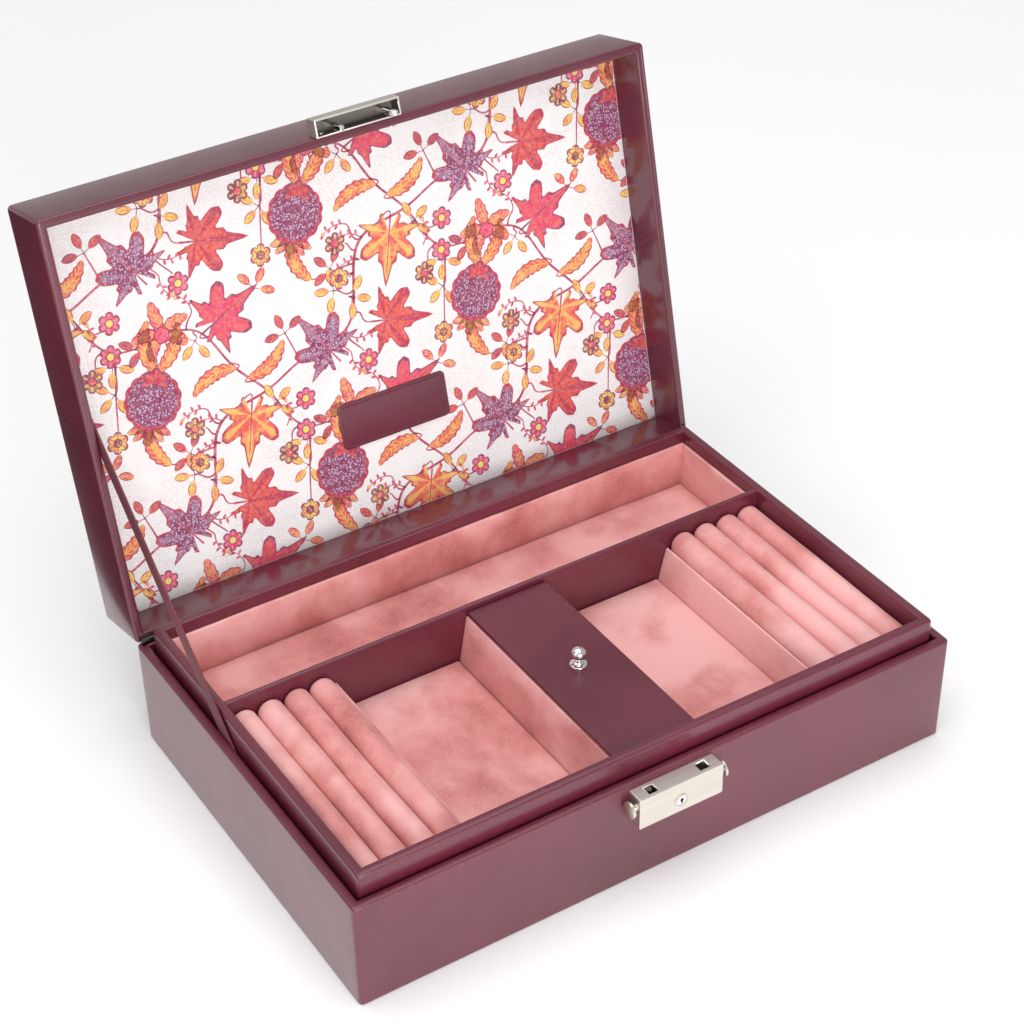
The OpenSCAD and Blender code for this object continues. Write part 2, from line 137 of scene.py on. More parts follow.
# A new material with the given sockets set, and the Object coordinates that its patterns use.
def startMaterial(name, sockets):
    material = bpy.data.materials.new(name)
    material.use_nodes = True
    for key, value in sockets.items():
        material.node_tree.nodes["Principled BSDF"].inputs[key].default_value = value
    place = addNode(material.node_tree, "ShaderNodeTexCoord").outputs["Object"]
    return material, material.node_tree, place


# Links what a material has worked out to the shader's sockets.
def finishMaterial(material, links):
    for key, value in links.items():
        material.node_tree.links.new(value, material.node_tree.nodes["Principled BSDF"].inputs[key])
    return material


# Screen values from 0 to 255 become linear light.
def colour(red, green, blue):
    part = np.array([red, green, blue]) / 255.0
    linear = np.where(part <= 0.04045, part / 12.92, ((part + 0.055) / 1.055) ** 2.4)
    return (float(linear[0]), float(linear[1]), float(linear[2]), 1.0)


def sums(tree, operation, first, second=0.0):
    return addNode(tree, "ShaderNodeMath", {0: first, 1: second}, operation=operation).outputs[0]


def times(tree, first, second):
    return sums(tree, "MULTIPLY", first, second)


def plus(tree, first, second):
    return sums(tree, "ADD", first, second)


def less(tree, first, second):
    return sums(tree, "SUBTRACT", first, second)


def blendColour(tree, amount, first, second):
    made = addNode(tree, "ShaderNodeMix", data_type="RGBA")
    for socket, value in ((made.inputs[0], amount), (made.inputs[6], first), (made.inputs[7], second)):
        if isinstance(value, bpy.types.NodeSocket):
            tree.links.new(value, socket)
        else:
            socket.default_value = value
    return made.outputs[2]


# A value between low and high is spread to 0..1 with soft ends.
def window(tree, value, low, high):
    return addNode(tree, "ShaderNodeMapRange", {"Value": value, "From Min": low, "From Max": high},
                   interpolation_type="SMOOTHSTEP").outputs[0]


def noiseAt(tree, place, scale, detail=3.0, roughness=0.5, distortion=0.0):
    return addNode(tree, "ShaderNodeTexNoise", {"Vector": place, "Scale": scale, "Detail": detail,
                   "Roughness": roughness, "Distortion": distortion}).outputs["Fac"]


def bumpFrom(tree, height, depth, strength=1.0, before=None):
    inputs = {"Height": height, "Distance": depth, "Strength": strength}
    if before is not None:
        inputs["Normal"] = before
    return addNode(tree, "ShaderNodeBump", inputs).outputs["Normal"]


# Materials.
leatherLook = {"dark": colour(88, 24, 42), "light": colour(104, 32, 52), "grain": 1500.0, "wrinkle": 26.0}
velvetLook = {"dark": colour(180, 98, 96), "middle": colour(214, 138, 135), "light": colour(238, 180, 177)}
liningLook = {"white": colour(248, 246, 246), "line": colour(236, 226, 226), "cell": 700.0}


# Smooth calf: a slow drift between two reds, fine pores and long shallow wrinkles in the height.
def leatherMaterial(name, dark, light, roughness=0.3, wrinkleDepth=0.3 * mm, coat=0.45):
    material, tree, place = startMaterial(name, {"Coat Weight": coat, "Coat Roughness": 0.14,
                                                 "Specular IOR Level": 0.6})
    drift = noiseAt(tree, place, 14.0, 4.0, 0.55)
    speck = noiseAt(tree, place, 900.0, 2.0)
    shade = blendColour(tree, window(tree, drift, 0.3, 0.7), dark, light)
    shade = blendColour(tree, times(tree, window(tree, speck, 0.35, 0.75), 0.16), shade,
                        (0.22, 0.06, 0.09, 1.0))
    rough = plus(tree, times(tree, noiseAt(tree, place, 60.0, 5.0, 0.6), 0.16), roughness - 0.08)
    pores = addNode(tree, "ShaderNodeTexVoronoi", {"Vector": place, "Scale": leatherLook["grain"]},
                    feature="F1").outputs["Distance"]
    crease = times(tree, noiseAt(tree, place, 105.0, 1.0, 0.5), 0.14)
    waves = plus(tree, noiseAt(tree, place, leatherLook["wrinkle"], 2.0, 0.4), crease)
    wrinkles = bumpFrom(tree, waves, wrinkleDepth)
    normal = bumpFrom(tree, pores, 0.01 * mm, 0.25, wrinkles)
    return finishMaterial(material, {"Base Color": shade, "Roughness": rough, "Normal": normal})


# Short pile that has been brushed about: warped blotches of lit and shaded pile with a fine fibre speckle.
def velvetMaterial(name, blotch=21.0, seedShift=0.61):
    material, tree, place = startMaterial(name, {"Roughness": 0.95, "Sheen Weight": 0.4, "Sheen Roughness": 0.35,
                                                 "Sheen Tint": (1.0, 0.82, 0.8, 1.0), "Specular IOR Level": 0.15})
    place = addNode(tree, "ShaderNodeMapping", {"Vector": place, "Location": (seedShift, 0.3 * seedShift, 0.0),
                                                "Scale": (1.0, 0.8, 1.0)}).outputs[0]
    broad = noiseAt(tree, place, blotch, 2.5, 0.45, 0.5)
    streak = noiseAt(tree, place, 70.0, 5.0, 0.6, 0.3)
    fibre = noiseAt(tree, place, 1900.0, 2.0, 0.6)
    lit = plus(tree, times(tree, broad, 0.72), times(tree, streak, 0.28))
    ramp = addNode(tree, "ShaderNodeValToRGB", {"Fac": lit})
    ramp.color_ramp.elements[0].position, ramp.color_ramp.elements[0].color = 0.35, velvetLook["dark"]
    ramp.color_ramp.elements[1].position, ramp.color_ramp.elements[1].color = 0.58, velvetLook["light"]
    ramp.color_ramp.elements.new(0.46).color = velvetLook["middle"]
    speckled = blendColour(tree, times(tree, window(tree, fibre, 0.3, 0.7), 0.3), ramp.outputs["Color"],
                           (0.84, 0.5, 0.48, 1.0))
    pile = bumpFrom(tree, streak, 0.5 * mm, 0.5)
    return finishMaterial(material, {"Base Color": speckled, "Normal": bumpFrom(tree, fibre, 0.12 * mm, 0.6, pile)})


# The lining's grain, shared by the sheet and its print: rounded cells with finer lines between them.
def pebbleGrain(tree, place):
    edge = addNode(tree, "ShaderNodeTexVoronoi", {"Vector": place, "Scale": liningLook["cell"]},
                   feature="DISTANCE_TO_EDGE").outputs["Distance"]
    cell = window(tree, edge, 0.0, 0.22)
    return cell, bumpFrom(tree, cell, 0.05 * mm, 0.45)


def liningMaterial():
    material, tree, place = startMaterial("printedLining", {"Roughness": 0.55, "Specular IOR Level": 0.4})
    cell, normal = pebbleGrain(tree, place)
    faint = window(tree, noiseAt(tree, place, 55.0, 3.0), 0.35, 0.75)
    line = blendColour(tree, faint, liningLook["line"], liningLook["white"])
    shade = blendColour(tree, cell, line, liningLook["white"])
    return finishMaterial(material, {"Base Color": shade, "Normal": normal})


# Printed ink: each motif carries its own across-and-along map, its edge, body and detail colours, and how much of
# its width is edge, how dotted and how veined it is. A little noise gives the printed, slightly broken look.
def inkMaterial():
    material, tree, place = startMaterial("liningInk", {"Roughness": 0.5, "Specular IOR Level": 0.4})
    motif = addNode(tree, "ShaderNodeUVMap", uv_map="motif").outputs[0]
    across, along = addNode(tree, "ShaderNodeSeparateXYZ", {0: motif}).outputs[:2]
    edge, body, detail, kind = (addNode(tree, "ShaderNodeAttribute", attribute_name=n).outputs["Color"]
                                for n in ("edgeInk", "bodyInk", "detailInk", "motifKind"))
    rimShare, dotted, veined = addNode(tree, "ShaderNodeSeparateColor", {0: kind}).outputs[:3]
    normal = pebbleGrain(tree, place)[1]
    side = sums(tree, "ABSOLUTE", across)
    rough = times(tree, less(tree, noiseAt(tree, place, 1500.0, 2.0), 0.5), 0.16)
    rimStart = less(tree, 1.0, rimShare)
    gap = less(tree, plus(tree, side, rough), rimStart)
    rim = window(tree, gap, -0.05, 0.05)
    dots = addNode(tree, "ShaderNodeTexVoronoi", {"Vector": place, "Scale": 860.0, "Randomness": 0.7})
    dotMask = times(tree, window(tree, dots.outputs["Distance"], 0.42, 0.3), dotted)
    rib = sums(tree, "FRACT", less(tree, along, times(tree, side, 0.9)))
    ribMask = window(tree, sums(tree, "ABSOLUTE", less(tree, rib, 0.5)), 0.17, 0.09)
    spine = window(tree, side, 0.12, 0.06)
    veinMask = times(tree, sums(tree, "MAXIMUM", ribMask, spine), veined)
    mottle = times(tree, window(tree, noiseAt(tree, place, 190.0, 3.0, 0.5, 0.6), 0.44, 0.62), 0.5)
    shade = blendColour(tree, times(tree, mottle, less(tree, 1.0, dotted)), body, detail)
    shade = blendColour(tree, dotMask, shade, detail)
    shade = blendColour(tree, veinMask, shade, detail)
    shade = blendColour(tree, rim, shade, edge)
    worn = times(tree, window(tree, noiseAt(tree, place, 700.0, 3.0, 0.6), 0.35, 0.8), 0.22)
    shade = blendColour(tree, worn, shade, (0.9, 0.72, 0.72, 1.0))
    return finishMaterial(material, {"Base Color": shade, "Normal": normal})


# Satin or bright metal: fine lines drawn out along X, and a faint change of gloss.
def metalMaterial(name, shade, roughness, lines):
    material, tree, place = startMaterial(name, {"Metallic": 1.0})
    drawn = addNode(tree, "ShaderNodeMapping", {"Vector": place, "Scale": (0.04, 1.0, 1.0)}).outputs[0]
    scratch = noiseAt(tree, drawn, 5200.0, 3.0, 0.6)
    cloud = noiseAt(tree, drawn, 420.0, 3.0)
    darker = tuple(0.93 * c for c in shade[:3]) + (1.0,)
    return finishMaterial(material, {"Base Color": blendColour(tree, window(tree, cloud, 0.3, 0.7), darker, shade),
                                     "Roughness": plus(tree, times(tree, scratch, 0.14), roughness - 0.07),
                                     "Normal": bumpFrom(tree, scratch, 0.02 * mm, lines)})


# Plain board: long grain drawn out along X.
def boardMaterial():
    material, tree, place = startMaterial("boardWood", {"Roughness": 0.7})
    drawn = addNode(tree, "ShaderNodeMapping", {"Vector": place, "Scale": (0.06, 1.0, 1.0)}).outputs[0]
    grain = noiseAt(tree, drawn, 320.0, 5.0, 0.6, 0.6)
    shade = blendColour(tree, window(tree, grain, 0.3, 0.7), colour(176, 138, 98), colour(214, 182, 140))
    return finishMaterial(material, {"Base Color": shade, "Normal": bumpFrom(tree, grain, 0.1 * mm, 0.4)})


# Sewing thread: two reds that follow its twist.
def threadMaterial():
    material, tree, place = startMaterial("bordeauxThread", {"Roughness": 0.6, "Sheen Weight": 0.3})
    twist = noiseAt(tree, place, 2600.0, 2.0)
    return finishMaterial(material, {"Base Color": blendColour(tree, twist, colour(128, 24, 48), colour(166, 44, 70)),
                                     "Normal": bumpFrom(tree, twist, 0.08 * mm, 0.5)})


looks = {
    "leather": leatherMaterial("bordeauxLeather", leatherLook["dark"], leatherLook["light"]),
    "linerLeather": leatherMaterial("innerLeather", colour(84, 24, 40), colour(100, 32, 50), 0.4, 0.3 * mm, 0.12),
    "strapLeather": leatherMaterial("strapLeather", colour(92, 34, 44), colour(112, 46, 56), 0.62, 0.1 * mm, 0.0),
    "velvet": velvetMaterial("pinkVelvet"),
    "rollVelvet": velvetMaterial("rollVelvet", 27.0, 1.47),
    "lining": liningMaterial(),
    "ink": inkMaterial(),
    "nickel": metalMaterial("brushedNickel", (0.8, 0.75, 0.68, 1.0), 0.34, 0.12),
    "plate": metalMaterial("nickelSteel", (0.62, 0.6, 0.56, 1.0), 0.36, 0.35),
    "chrome": metalMaterial("brightChrome", (0.86, 0.85, 0.84, 1.0), 0.1, 0.06),
    # Dark, rough nickel that paints the shade inside the cap's hollow.
    "paintedShadeNickel": metalMaterial("paintedShadeNickel", (0.22, 0.2, 0.18, 1.0), 0.55, 0.4),
    "spring": metalMaterial("springSteel", (0.5, 0.5, 0.5, 1.0), 0.3, 0.3),
    "darkSteel": metalMaterial("darkSteel", (0.07, 0.065, 0.065, 1.0), 0.34, 0.3),
    "board": boardMaterial(),
    "thread": threadMaterial(),
}
lookOfSlot = {"board_wood": "board", "bordeaux_leather": "leather", "pink_velvet": "velvet",
              "printed_lining": "lining", "label_leather": "leather", "nickel_steel": "plate",
              "brushed_nickel": "nickel", "bright_chrome": "chrome", "spring_steel": "spring",
              "dark_steel": "darkSteel"}
looks["label"] = looks["leather"]
print("materials ready:", len(looks))


# Mesh helpers.
lidHinge = next(j for j in frame["joints"] if j["name"] == "lid_hinge")
openAngle = -math.radians(lidHinge["range_deg"][0])
pinY, pinZ = lidHinge["pos_m"][1], lidHinge["pos_m"][2]


# Points written for the shut lid (x, distance behind the pin, depth over the seam) turn about the pin to where the
# open lid stands.
def onLid(points):
    x, back, deep = points[..., 0], points[..., 1], points[..., 2]
    y = pinY + back * math.cos(openAngle) + deep * math.sin(openAngle)
    z = pinZ - back * math.sin(openAngle) + deep * math.cos(openAngle)
    return np.stack([x, y, z], -1)


# Rows and columns of points become quads; closed directions join their last line to the first.
def gridFaces(rows, columns, closeRows=False, closeColumns=False):
    index = np.arange(rows * columns).reshape(rows, columns)
    if closeRows:
        index = np.vstack([index, index[:1]])
    if closeColumns:
        index = np.hstack([index, index[:, :1]])
    return np.stack([index[:-1, :-1], index[:-1, 1:], index[1:, 1:], index[1:, :-1]], -1).reshape(-1, 4)


weldDistance = 2e-6


# Rings of points joined into a skin, with the first and the last ring each closed by one face.
def cappedFaces(rows, columns):
    faces = gridFaces(rows, columns, closeColumns=True).tolist()
    return faces + [list(range(columns)), list(range((rows - 1) * columns, rows * columns))]


# Makes the object: merges doubles, points the faces out, shades it smooth up to the given edge angle. It rides on
# its body and stands in for its CAD node.
def makePiece(name, points, faces, look, body=None, node=None):
    mesh = bpy.data.meshes.new(name)
    mesh.from_pydata(np.asarray(points).reshape(-1, 3).tolist(), [], [list(f) for f in faces])
    work = bmesh.new()
    work.from_mesh(mesh)
    bmesh.ops.remove_doubles(work, verts=work.verts, dist=weldDistance)
    bmesh.ops.recalc_face_normals(work, faces=work.faces)
    work.to_mesh(mesh)
    work.free()
    mesh.shade_smooth()
    mesh.set_sharp_from_angle(angle=math.radians(38))
    mesh.materials.append(looks[look])
    piece = addObject(name, mesh)
    if body:
        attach(piece, body)
    if node:
        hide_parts(node)
    return piece


# Corners joined by straight lines, with each inner corner replaced by an arc of its radius.
def filletPath(corners, radii, steps=5):
    corners = np.array(corners, float)
    path = [corners[:1]]
    for k in range(1, len(corners) - 1):
        before = corners[k - 1] - corners[k]
        after = corners[k + 1] - corners[k]
        before, after = before / np.linalg.norm(before), after / np.linalg.norm(after)
        radius = radii[k - 1]
        half = math.acos(np.clip(before @ after, -1, 1)) / 2
        if radius <= 0 or half > 1.55:
            path.append(corners[k:k + 1])
            continue
        middle = corners[k] + (before + after) / np.linalg.norm(before + after) * radius / math.sin(half)
        first = corners[k] + before * radius / math.tan(half) - middle
        last = corners[k] + after * radius / math.tan(half) - middle
        sweep = np.linspace(0, 1, steps + 1)[:, None]
        spread = math.pi - 2 * half
        path.append(middle + (np.sin((1 - sweep) * spread) * first + np.sin(sweep * spread) * last)
                    / math.sin(spread))
    path.append(corners[-1:])
    return np.concatenate(path)


# Each point of a path moves off it by thickness, to its left-hand side.
def offsetPath(path, thickness):
    along = np.gradient(path, axis=0)
    along /= np.linalg.norm(along, axis=1, keepdims=True)
    return path + thickness * np.stack([-along[:, 1], along[:, 0]], 1)


# A rectangle with rounded corners: straight sides cut into equal parts, quarter circles between them.
def roundedRing(halfX, halfY, radius, perSide=30, perCorner=8):
    turn = np.linspace(0, math.pi / 2, perCorner)
    arc = np.stack([np.cos(turn), np.sin(turn)], 1) * radius
    corners = []
    for quarter, (sideX, sideY) in enumerate(((1, 1), (-1, 1), (-1, -1), (1, -1))):
        c, s = math.cos(quarter * math.pi / 2), math.sin(quarter * math.pi / 2)
        corners.append(arc @ np.array([[c, s], [-s, c]]) + [sideX * (halfX - radius), sideY * (halfY - radius)])
    ring = []
    for k in range(4):
        start, end = corners[k][-1], corners[(k + 1) % 4][0]
        ring += [corners[k], start + (end - start) * np.linspace(0, 1, perSide + 2)[1:-1, None]]
    return np.concatenate(ring)


# A profile of (inset, height) is carried round a rounded rectangle: every profile point has a ring of its own.
def ringGrid(profile, halfX, halfY, radius, centre=(0.0, 0.0), **steps):
    rings = []
    for inset, height in profile:
        ring = roundedRing(halfX - inset, halfY - inset, max(radius - inset, 0.04 * mm), **steps)
        rings.append(np.column_stack([ring + centre, np.full(len(ring), height)]))
    return np.array(rings)


# Slow waves that keep a long edge from being ruler straight: a sum of three sines along x and y.
def waver(grid, height):
    x, y = grid[..., 0], grid[..., 1]
    wave = (np.sin(71 * x + 13 * y + 0.4) + 0.7 * np.sin(163 * x - 121 * y + 1.9) + 0.5 * np.sin(390 * x + 347 * y))
    return height * wave / 2.2


# An outline (x, z) is carried along y from front to back; at each end it draws in by a quarter circle, and a fan
# of faces about its middle closes it.
def loftAlongY(outline, front, back, endRound, stations, arcSteps=5):
    turn = np.linspace(0, math.pi / 2, arcSteps + 1)
    inset = endRound * (1 - np.sin(turn))
    step = endRound * (1 - np.cos(turn))
    ys = np.concatenate([front + step, np.linspace(front + endRound, back - endRound, stations)[1:-1],
                         (back - step)[::-1]])
    insets = np.concatenate([inset, np.zeros(stations - 2), inset[::-1]])
    around = np.roll(outline, -1, 0) - np.roll(outline, 1, 0)
    around /= np.linalg.norm(around, axis=1, keepdims=True)
    inward = np.stack([-around[:, 1], around[:, 0]], 1)
    area = np.sum(outline[:, 0] * np.roll(outline[:, 1], -1) - np.roll(outline[:, 0], -1) * outline[:, 1])
    inward *= np.sign(area)
    rows = outline[None] + inward[None] * insets[:, None, None]
    points = np.stack([rows[..., 0], np.broadcast_to(ys[:, None], rows.shape[:2]), rows[..., 1]], -1)
    faces = gridFaces(len(ys), len(outline), closeColumns=True).tolist()
    count = points.shape[0] * points.shape[1]
    flat = points.reshape(-1, 3)
    hubs = np.array([points[0].mean(0), points[-1].mean(0)])
    ring = np.arange(len(outline))
    after = np.roll(ring, -1)
    faces += np.stack([np.full(len(ring), count), ring, after], 1).tolist()
    tail = count - len(outline)
    faces += np.stack([np.full(len(ring), count + 1), tail + after, tail + ring], 1).tolist()
    return np.vstack([flat, hubs]), faces


# A copy of a CAD node with its loose triangles joined; shape may work on it before it is finished.
def nodeCopy(name, node, look, sharp, shape=None):
    mesh = cadNodes[node].data.copy()
    mesh.name = name
    mesh.materials.clear()
    mesh.materials.append(looks[look])
    work = bmesh.new()
    work.from_mesh(mesh)
    bmesh.ops.remove_doubles(work, verts=work.verts, dist=weldDistance)
    if shape:
        shape(work)
    work.to_mesh(mesh)
    work.free()
    mesh.shade_smooth()
    mesh.set_sharp_from_angle(angle=math.radians(sharp))
    piece = addObject(name, mesh)
    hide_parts(node)
    return piece


# The copy's flats are made whole, and its outer edges longer than shortest are bevelled.
def bevelledCopy(name, node, width, look, body, shortest=2.0 * mm):
    def markEdges(work):
        bmesh.ops.dissolve_limit(work, angle_limit=math.radians(1.0), verts=work.verts, edges=work.edges)
        layers = work.edges.layers.float
        weight = layers.get("bevel_weight_edge") or layers.new("bevel_weight_edge")
        for edge in work.edges:
            if edge.is_convex and edge.calc_face_angle(0.0) > math.radians(30) and edge.calc_length() > shortest:
                edge[weight] = 1.0

    piece = nodeCopy(name, node, look, 30.0, markEdges)
    bevel = piece.modifiers.new("edges", "BEVEL")
    bevel.width, bevel.segments, bevel.limit_method = width, 3, "WEIGHT"
    bevel.use_clamp_overlap, bevel.harden_normals = False, True
    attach(piece, body)
    return piece


# Leather shells: base, lid and tray.
shell = {"thickness": 0.75 * mm, "outerEdge": 1.35 * mm, "innerEdge": 0.85 * mm, "footEdge": 1.1 * mm,
         "bead": 0.09 * mm, "waver": 0.05 * mm, "hingeReach": 140.6 * mm}


case = {"halfX": 142.5 * mm, "halfY": 93.0 * mm, "corner": 2.0 * mm}
base = {"wall": 4.12 * mm, "rim": 51.7 * mm, "footReach": 9.8 * mm, "stepFrom": 90.6 * mm,
        "stepLevels": (50.1 * mm, 49.4 * mm)}
lid = {"wall": 4.05 * mm, "rim": 0.2 * mm, "top": 33.7 * mm, "panelFloor": 29.4 * mm, "liningAt": 20.4 * mm,
       "stepFrom": -1.8 * mm, "stepLevels": (1.8 * mm, 2.5 * mm)}
tray = {"wall": 4.2 * mm, "corner": 1.6 * mm, "waverAbove": 55 * mm}


# The wrapped wall in section: up the inside, over a flat rim with a low bead along its outer edge, down the outside.
def wallProfile(wall, innerLow, rim, outerLow):
    e = shell["bead"]
    corners = [(wall, innerLow), (wall, rim), (1.95 * mm, rim), (1.75 * mm, rim - e), (1.5 * mm, rim), (0, rim),
               (0, outerLow)]
    return filletPath(corners, [shell["innerEdge"], 0.2 * mm, 0.12 * mm, 0.2 * mm, shell["outerEdge"]], 6)


# The skin's outer path, its inner path and back: a closed section all round.
def skinSection(path):
    inner = offsetPath(path, shell["thickness"])
    return np.concatenate([path, inner[::-1]])


# Near the back, between the corners, the rim steps away from the hinge barrel: outer and inner skin each to a level.
def stepForHinge(grid, backEdge, levels, limit):
    outer = np.arange(len(grid)) < len(grid) // 2
    stepped = (grid[..., 1] > backEdge) & (np.abs(grid[..., 0]) < shell["hingeReach"])
    grid[..., 2] = np.where(stepped, limit(grid[..., 2], np.where(outer, *levels)[:, None]), grid[..., 2])


def baseSkin():
    b = base
    path = wallProfile(b["wall"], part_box("tray_support")[1].z, b["rim"], 0.0)
    foot = filletPath([path[-2], (0, 0), (b["footReach"], 0)], [shell["footEdge"]], 5)
    section = skinSection(np.concatenate([path[:-1], foot[1:]]))
    grid = ringGrid(section, case["halfX"], case["halfY"], case["corner"], perSide=44)
    grid[..., 2] += waver(grid, shell["waver"]) * (grid[..., 2] > b["rim"] - 6.7 * mm)
    stepForHinge(grid, b["stepFrom"], b["stepLevels"], np.minimum)
    makePiece("base_skin", grid, gridFaces(*grid.shape[:2], True, True), "leather", "base", "base_leather")


def lidSkin():
    d, e = lid, shell["bead"]
    corners = [(d["wall"], d["liningAt"]), (d["wall"], d["rim"]), (1.95 * mm, d["rim"]), (1.75 * mm, d["rim"] + e),
               (1.5 * mm, d["rim"]), (0, d["rim"]), (0, d["top"]), (d["wall"], d["top"]), (d["wall"], d["panelFloor"])]
    radii = [shell["innerEdge"], 0.2 * mm, 0.12 * mm, 0.2 * mm, shell["outerEdge"], 1.5 * mm, 0.85 * mm]
    path = filletPath(corners, radii, 6)
    section = np.concatenate([path, offsetPath(path, -shell["thickness"])[::-1]])
    grid = ringGrid(section, case["halfX"], case["halfY"], case["corner"], (0.0, -pinY), perSide=44)
    grid[..., 2] += waver(grid, shell["waver"])
    stepForHinge(grid, d["stepFrom"], d["stepLevels"], np.maximum)
    makePiece("lid_skin", onLid(grid), gridFaces(*grid.shape[:2], True, True), "leather", "lid", "lid_leather")


def traySkin():
    low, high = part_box("tray_leather")
    section = skinSection(wallProfile(tray["wall"], low.z, high.z, low.z))
    grid = ringGrid(section, high.x, high.y, tray["corner"], perSide=44)
    grid[..., 2] += waver(grid, shell["waver"]) * (grid[..., 2] > tray["waverAbove"])
    makePiece("tray_skin", grid, gridFaces(*grid.shape[:2], True, True), "leather", "tray", "tray_leather")


baseSkin()
lidSkin()
traySkin()
print("leather shells made")


# Leather parts inside: divider, cover, label, strap.
divider = {"stations": 70, "footEdge": 0.2 * mm, "topEdge": 0.9 * mm, "waver": 0.06 * mm}


def dividerPanel():
    low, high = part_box("divider")
    foot, top = divider["footEdge"], divider["topEdge"]
    outline = filletPath([(low.y, low.z + 5 * mm), (low.y, low.z), (high.y, low.z), (high.y, high.z),
                          (low.y, high.z), (low.y, low.z + 5 * mm)], [foot, foot, top, top])[:-1]
    xs = np.linspace(low.x, high.x, divider["stations"])
    x, y = np.meshgrid(xs, outline[:, 0], indexing="ij")
    grid = np.stack([x, y, np.broadcast_to(outline[:, 1], x.shape)], -1)
    grid[..., 2] += waver(grid, divider["waver"]) * (grid[..., 2] > high.z - 1.5 * mm)
    makePiece("divider_skin", grid, cappedFaces(*grid.shape[:2]), "leather", "tray", "divider")


# The cover: rings of a rounded rectangle drawn in from the underside round its edge to the middle.
cover = {"edge": 0.8 * mm, "corner": 1.2 * mm, "crown": 0.15 * mm}


def coverPanel():
    low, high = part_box("cover_panel")
    edge = cover["edge"]
    half = ((high.x - low.x) / 2, (high.y - low.y) / 2)
    centre = ((high.x + low.x) / 2, (high.y + low.y) / 2)
    reach = min(half) - 0.3 * mm
    rounded = filletPath([(3 * edge, low.z), (0, low.z), (0, high.z), (3 * edge, high.z)], [edge, edge], 6)
    insets = np.linspace(3 * edge, reach, 12)[1:]
    inner = np.stack([insets, high.z + cover["crown"] * np.sin(insets / reach * math.pi / 2)], 1)
    profile = np.concatenate([[(reach, low.z)], rounded, inner])
    grid = ringGrid(profile, half[0], half[1], cover["corner"], centre, perSide=36)
    makePiece("cover_skin", grid, cappedFaces(*grid.shape[:2]), "linerLeather", "cover", "cover_panel")


# A blank maker's patch: rounded corners and a plain line tooled just inside its edge.
label = {"tooledAt": 1.7 * mm, "grooveDepth": 0.16 * mm, "edge": 0.35 * mm, "corner": 2.6 * mm,
         "halfX": 27.2 * mm, "halfY": 10.7 * mm, "x": 3.5 * mm, "fromPin": -52.2 * mm,
         "face": 19.72 * mm, "back": 20.48 * mm}


def labelPatch():
    face, back = label["face"], label["back"]
    at, deep = label["tooledAt"], label["grooveDepth"]
    rounded = filletPath([(9 * mm, back), (0, back), (0, face), (at - 0.25 * mm, face), (at, face + deep),
                          (at + 0.25 * mm, face), (9 * mm, face)],
                         [0.1 * mm, label["edge"], 0.1 * mm, 0.1 * mm, 0.1 * mm], 4)
    grid = ringGrid(rounded, label["halfX"], label["halfY"], label["corner"], (label["x"], label["fromPin"]),
                    perSide=14)
    makePiece("label_patch", onLid(grid), cappedFaces(*grid.shape[:2]), "label", "lid", "label_plaque")


# The strap: a flat rounded section carried on a straight line from the base wall up to the lid wall.
strap = {"width": 7.6 * mm, "thickness": 0.9 * mm, "edge": 0.32 * mm, "baseY": 3.6 * mm, "baseZ": 38.4 * mm,
         "lidBack": -105.4 * mm, "lidDeep": 11.6 * mm, "spare": 3.0 * mm,
         "stations": 80}


def strapPiece():
    low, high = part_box("strap")
    x = (low.x + high.x) / 2
    start = np.array([x, strap["baseY"], strap["baseZ"]])
    end = onLid(np.array([x, strap["lidBack"], strap["lidDeep"]]))
    ahead = (end - start) / np.linalg.norm(end - start)
    across = np.cross([1, 0, 0], ahead)
    start, end = start - strap["spare"] * ahead, end + strap["spare"] * ahead
    half, thick = strap["width"] / 2, strap["thickness"] / 2
    section = filletPath([(-thick, 0), (-thick, half), (thick, half), (thick, -half), (-thick, -half), (-thick, 0)],
                         [strap["edge"]] * 4, 4)[:-1]
    line = start + (end - start) * np.linspace(0, 1, strap["stations"])[:, None]
    grid = (line[:, None] + section[None, :, :1] * np.array([1.0, 0, 0]) + section[None, :, 1:] * across)
    piece = makePiece("strap_band", grid, cappedFaces(*grid.shape[:2]), "strapLeather", node="strap")
    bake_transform(piece, "base", "lid", start=tuple(start), end=tuple(end))


dividerPanel()
coverPanel()
labelPatch()
strapPiece()
print("divider, cover, label and strap made")


# Outside of the lid: padded panel and its stitching.
lidPanel = {"inset": 4.25 * mm, "floor": 29.6 * mm, "edgeTop": 32.6 * mm, "crown": 1.5 * mm, "stitchLine": 5.2 * mm,
            "stitchPitch": 2.9 * mm, "stitchLength": 2.1 * mm, "threadRadius": 0.32 * mm, "dip": 0.35 * mm,
            "edge": 0.7 * mm, "corner": 1.6 * mm, "riseOver": 38 * mm, "dipWidth": 0.9 * mm}


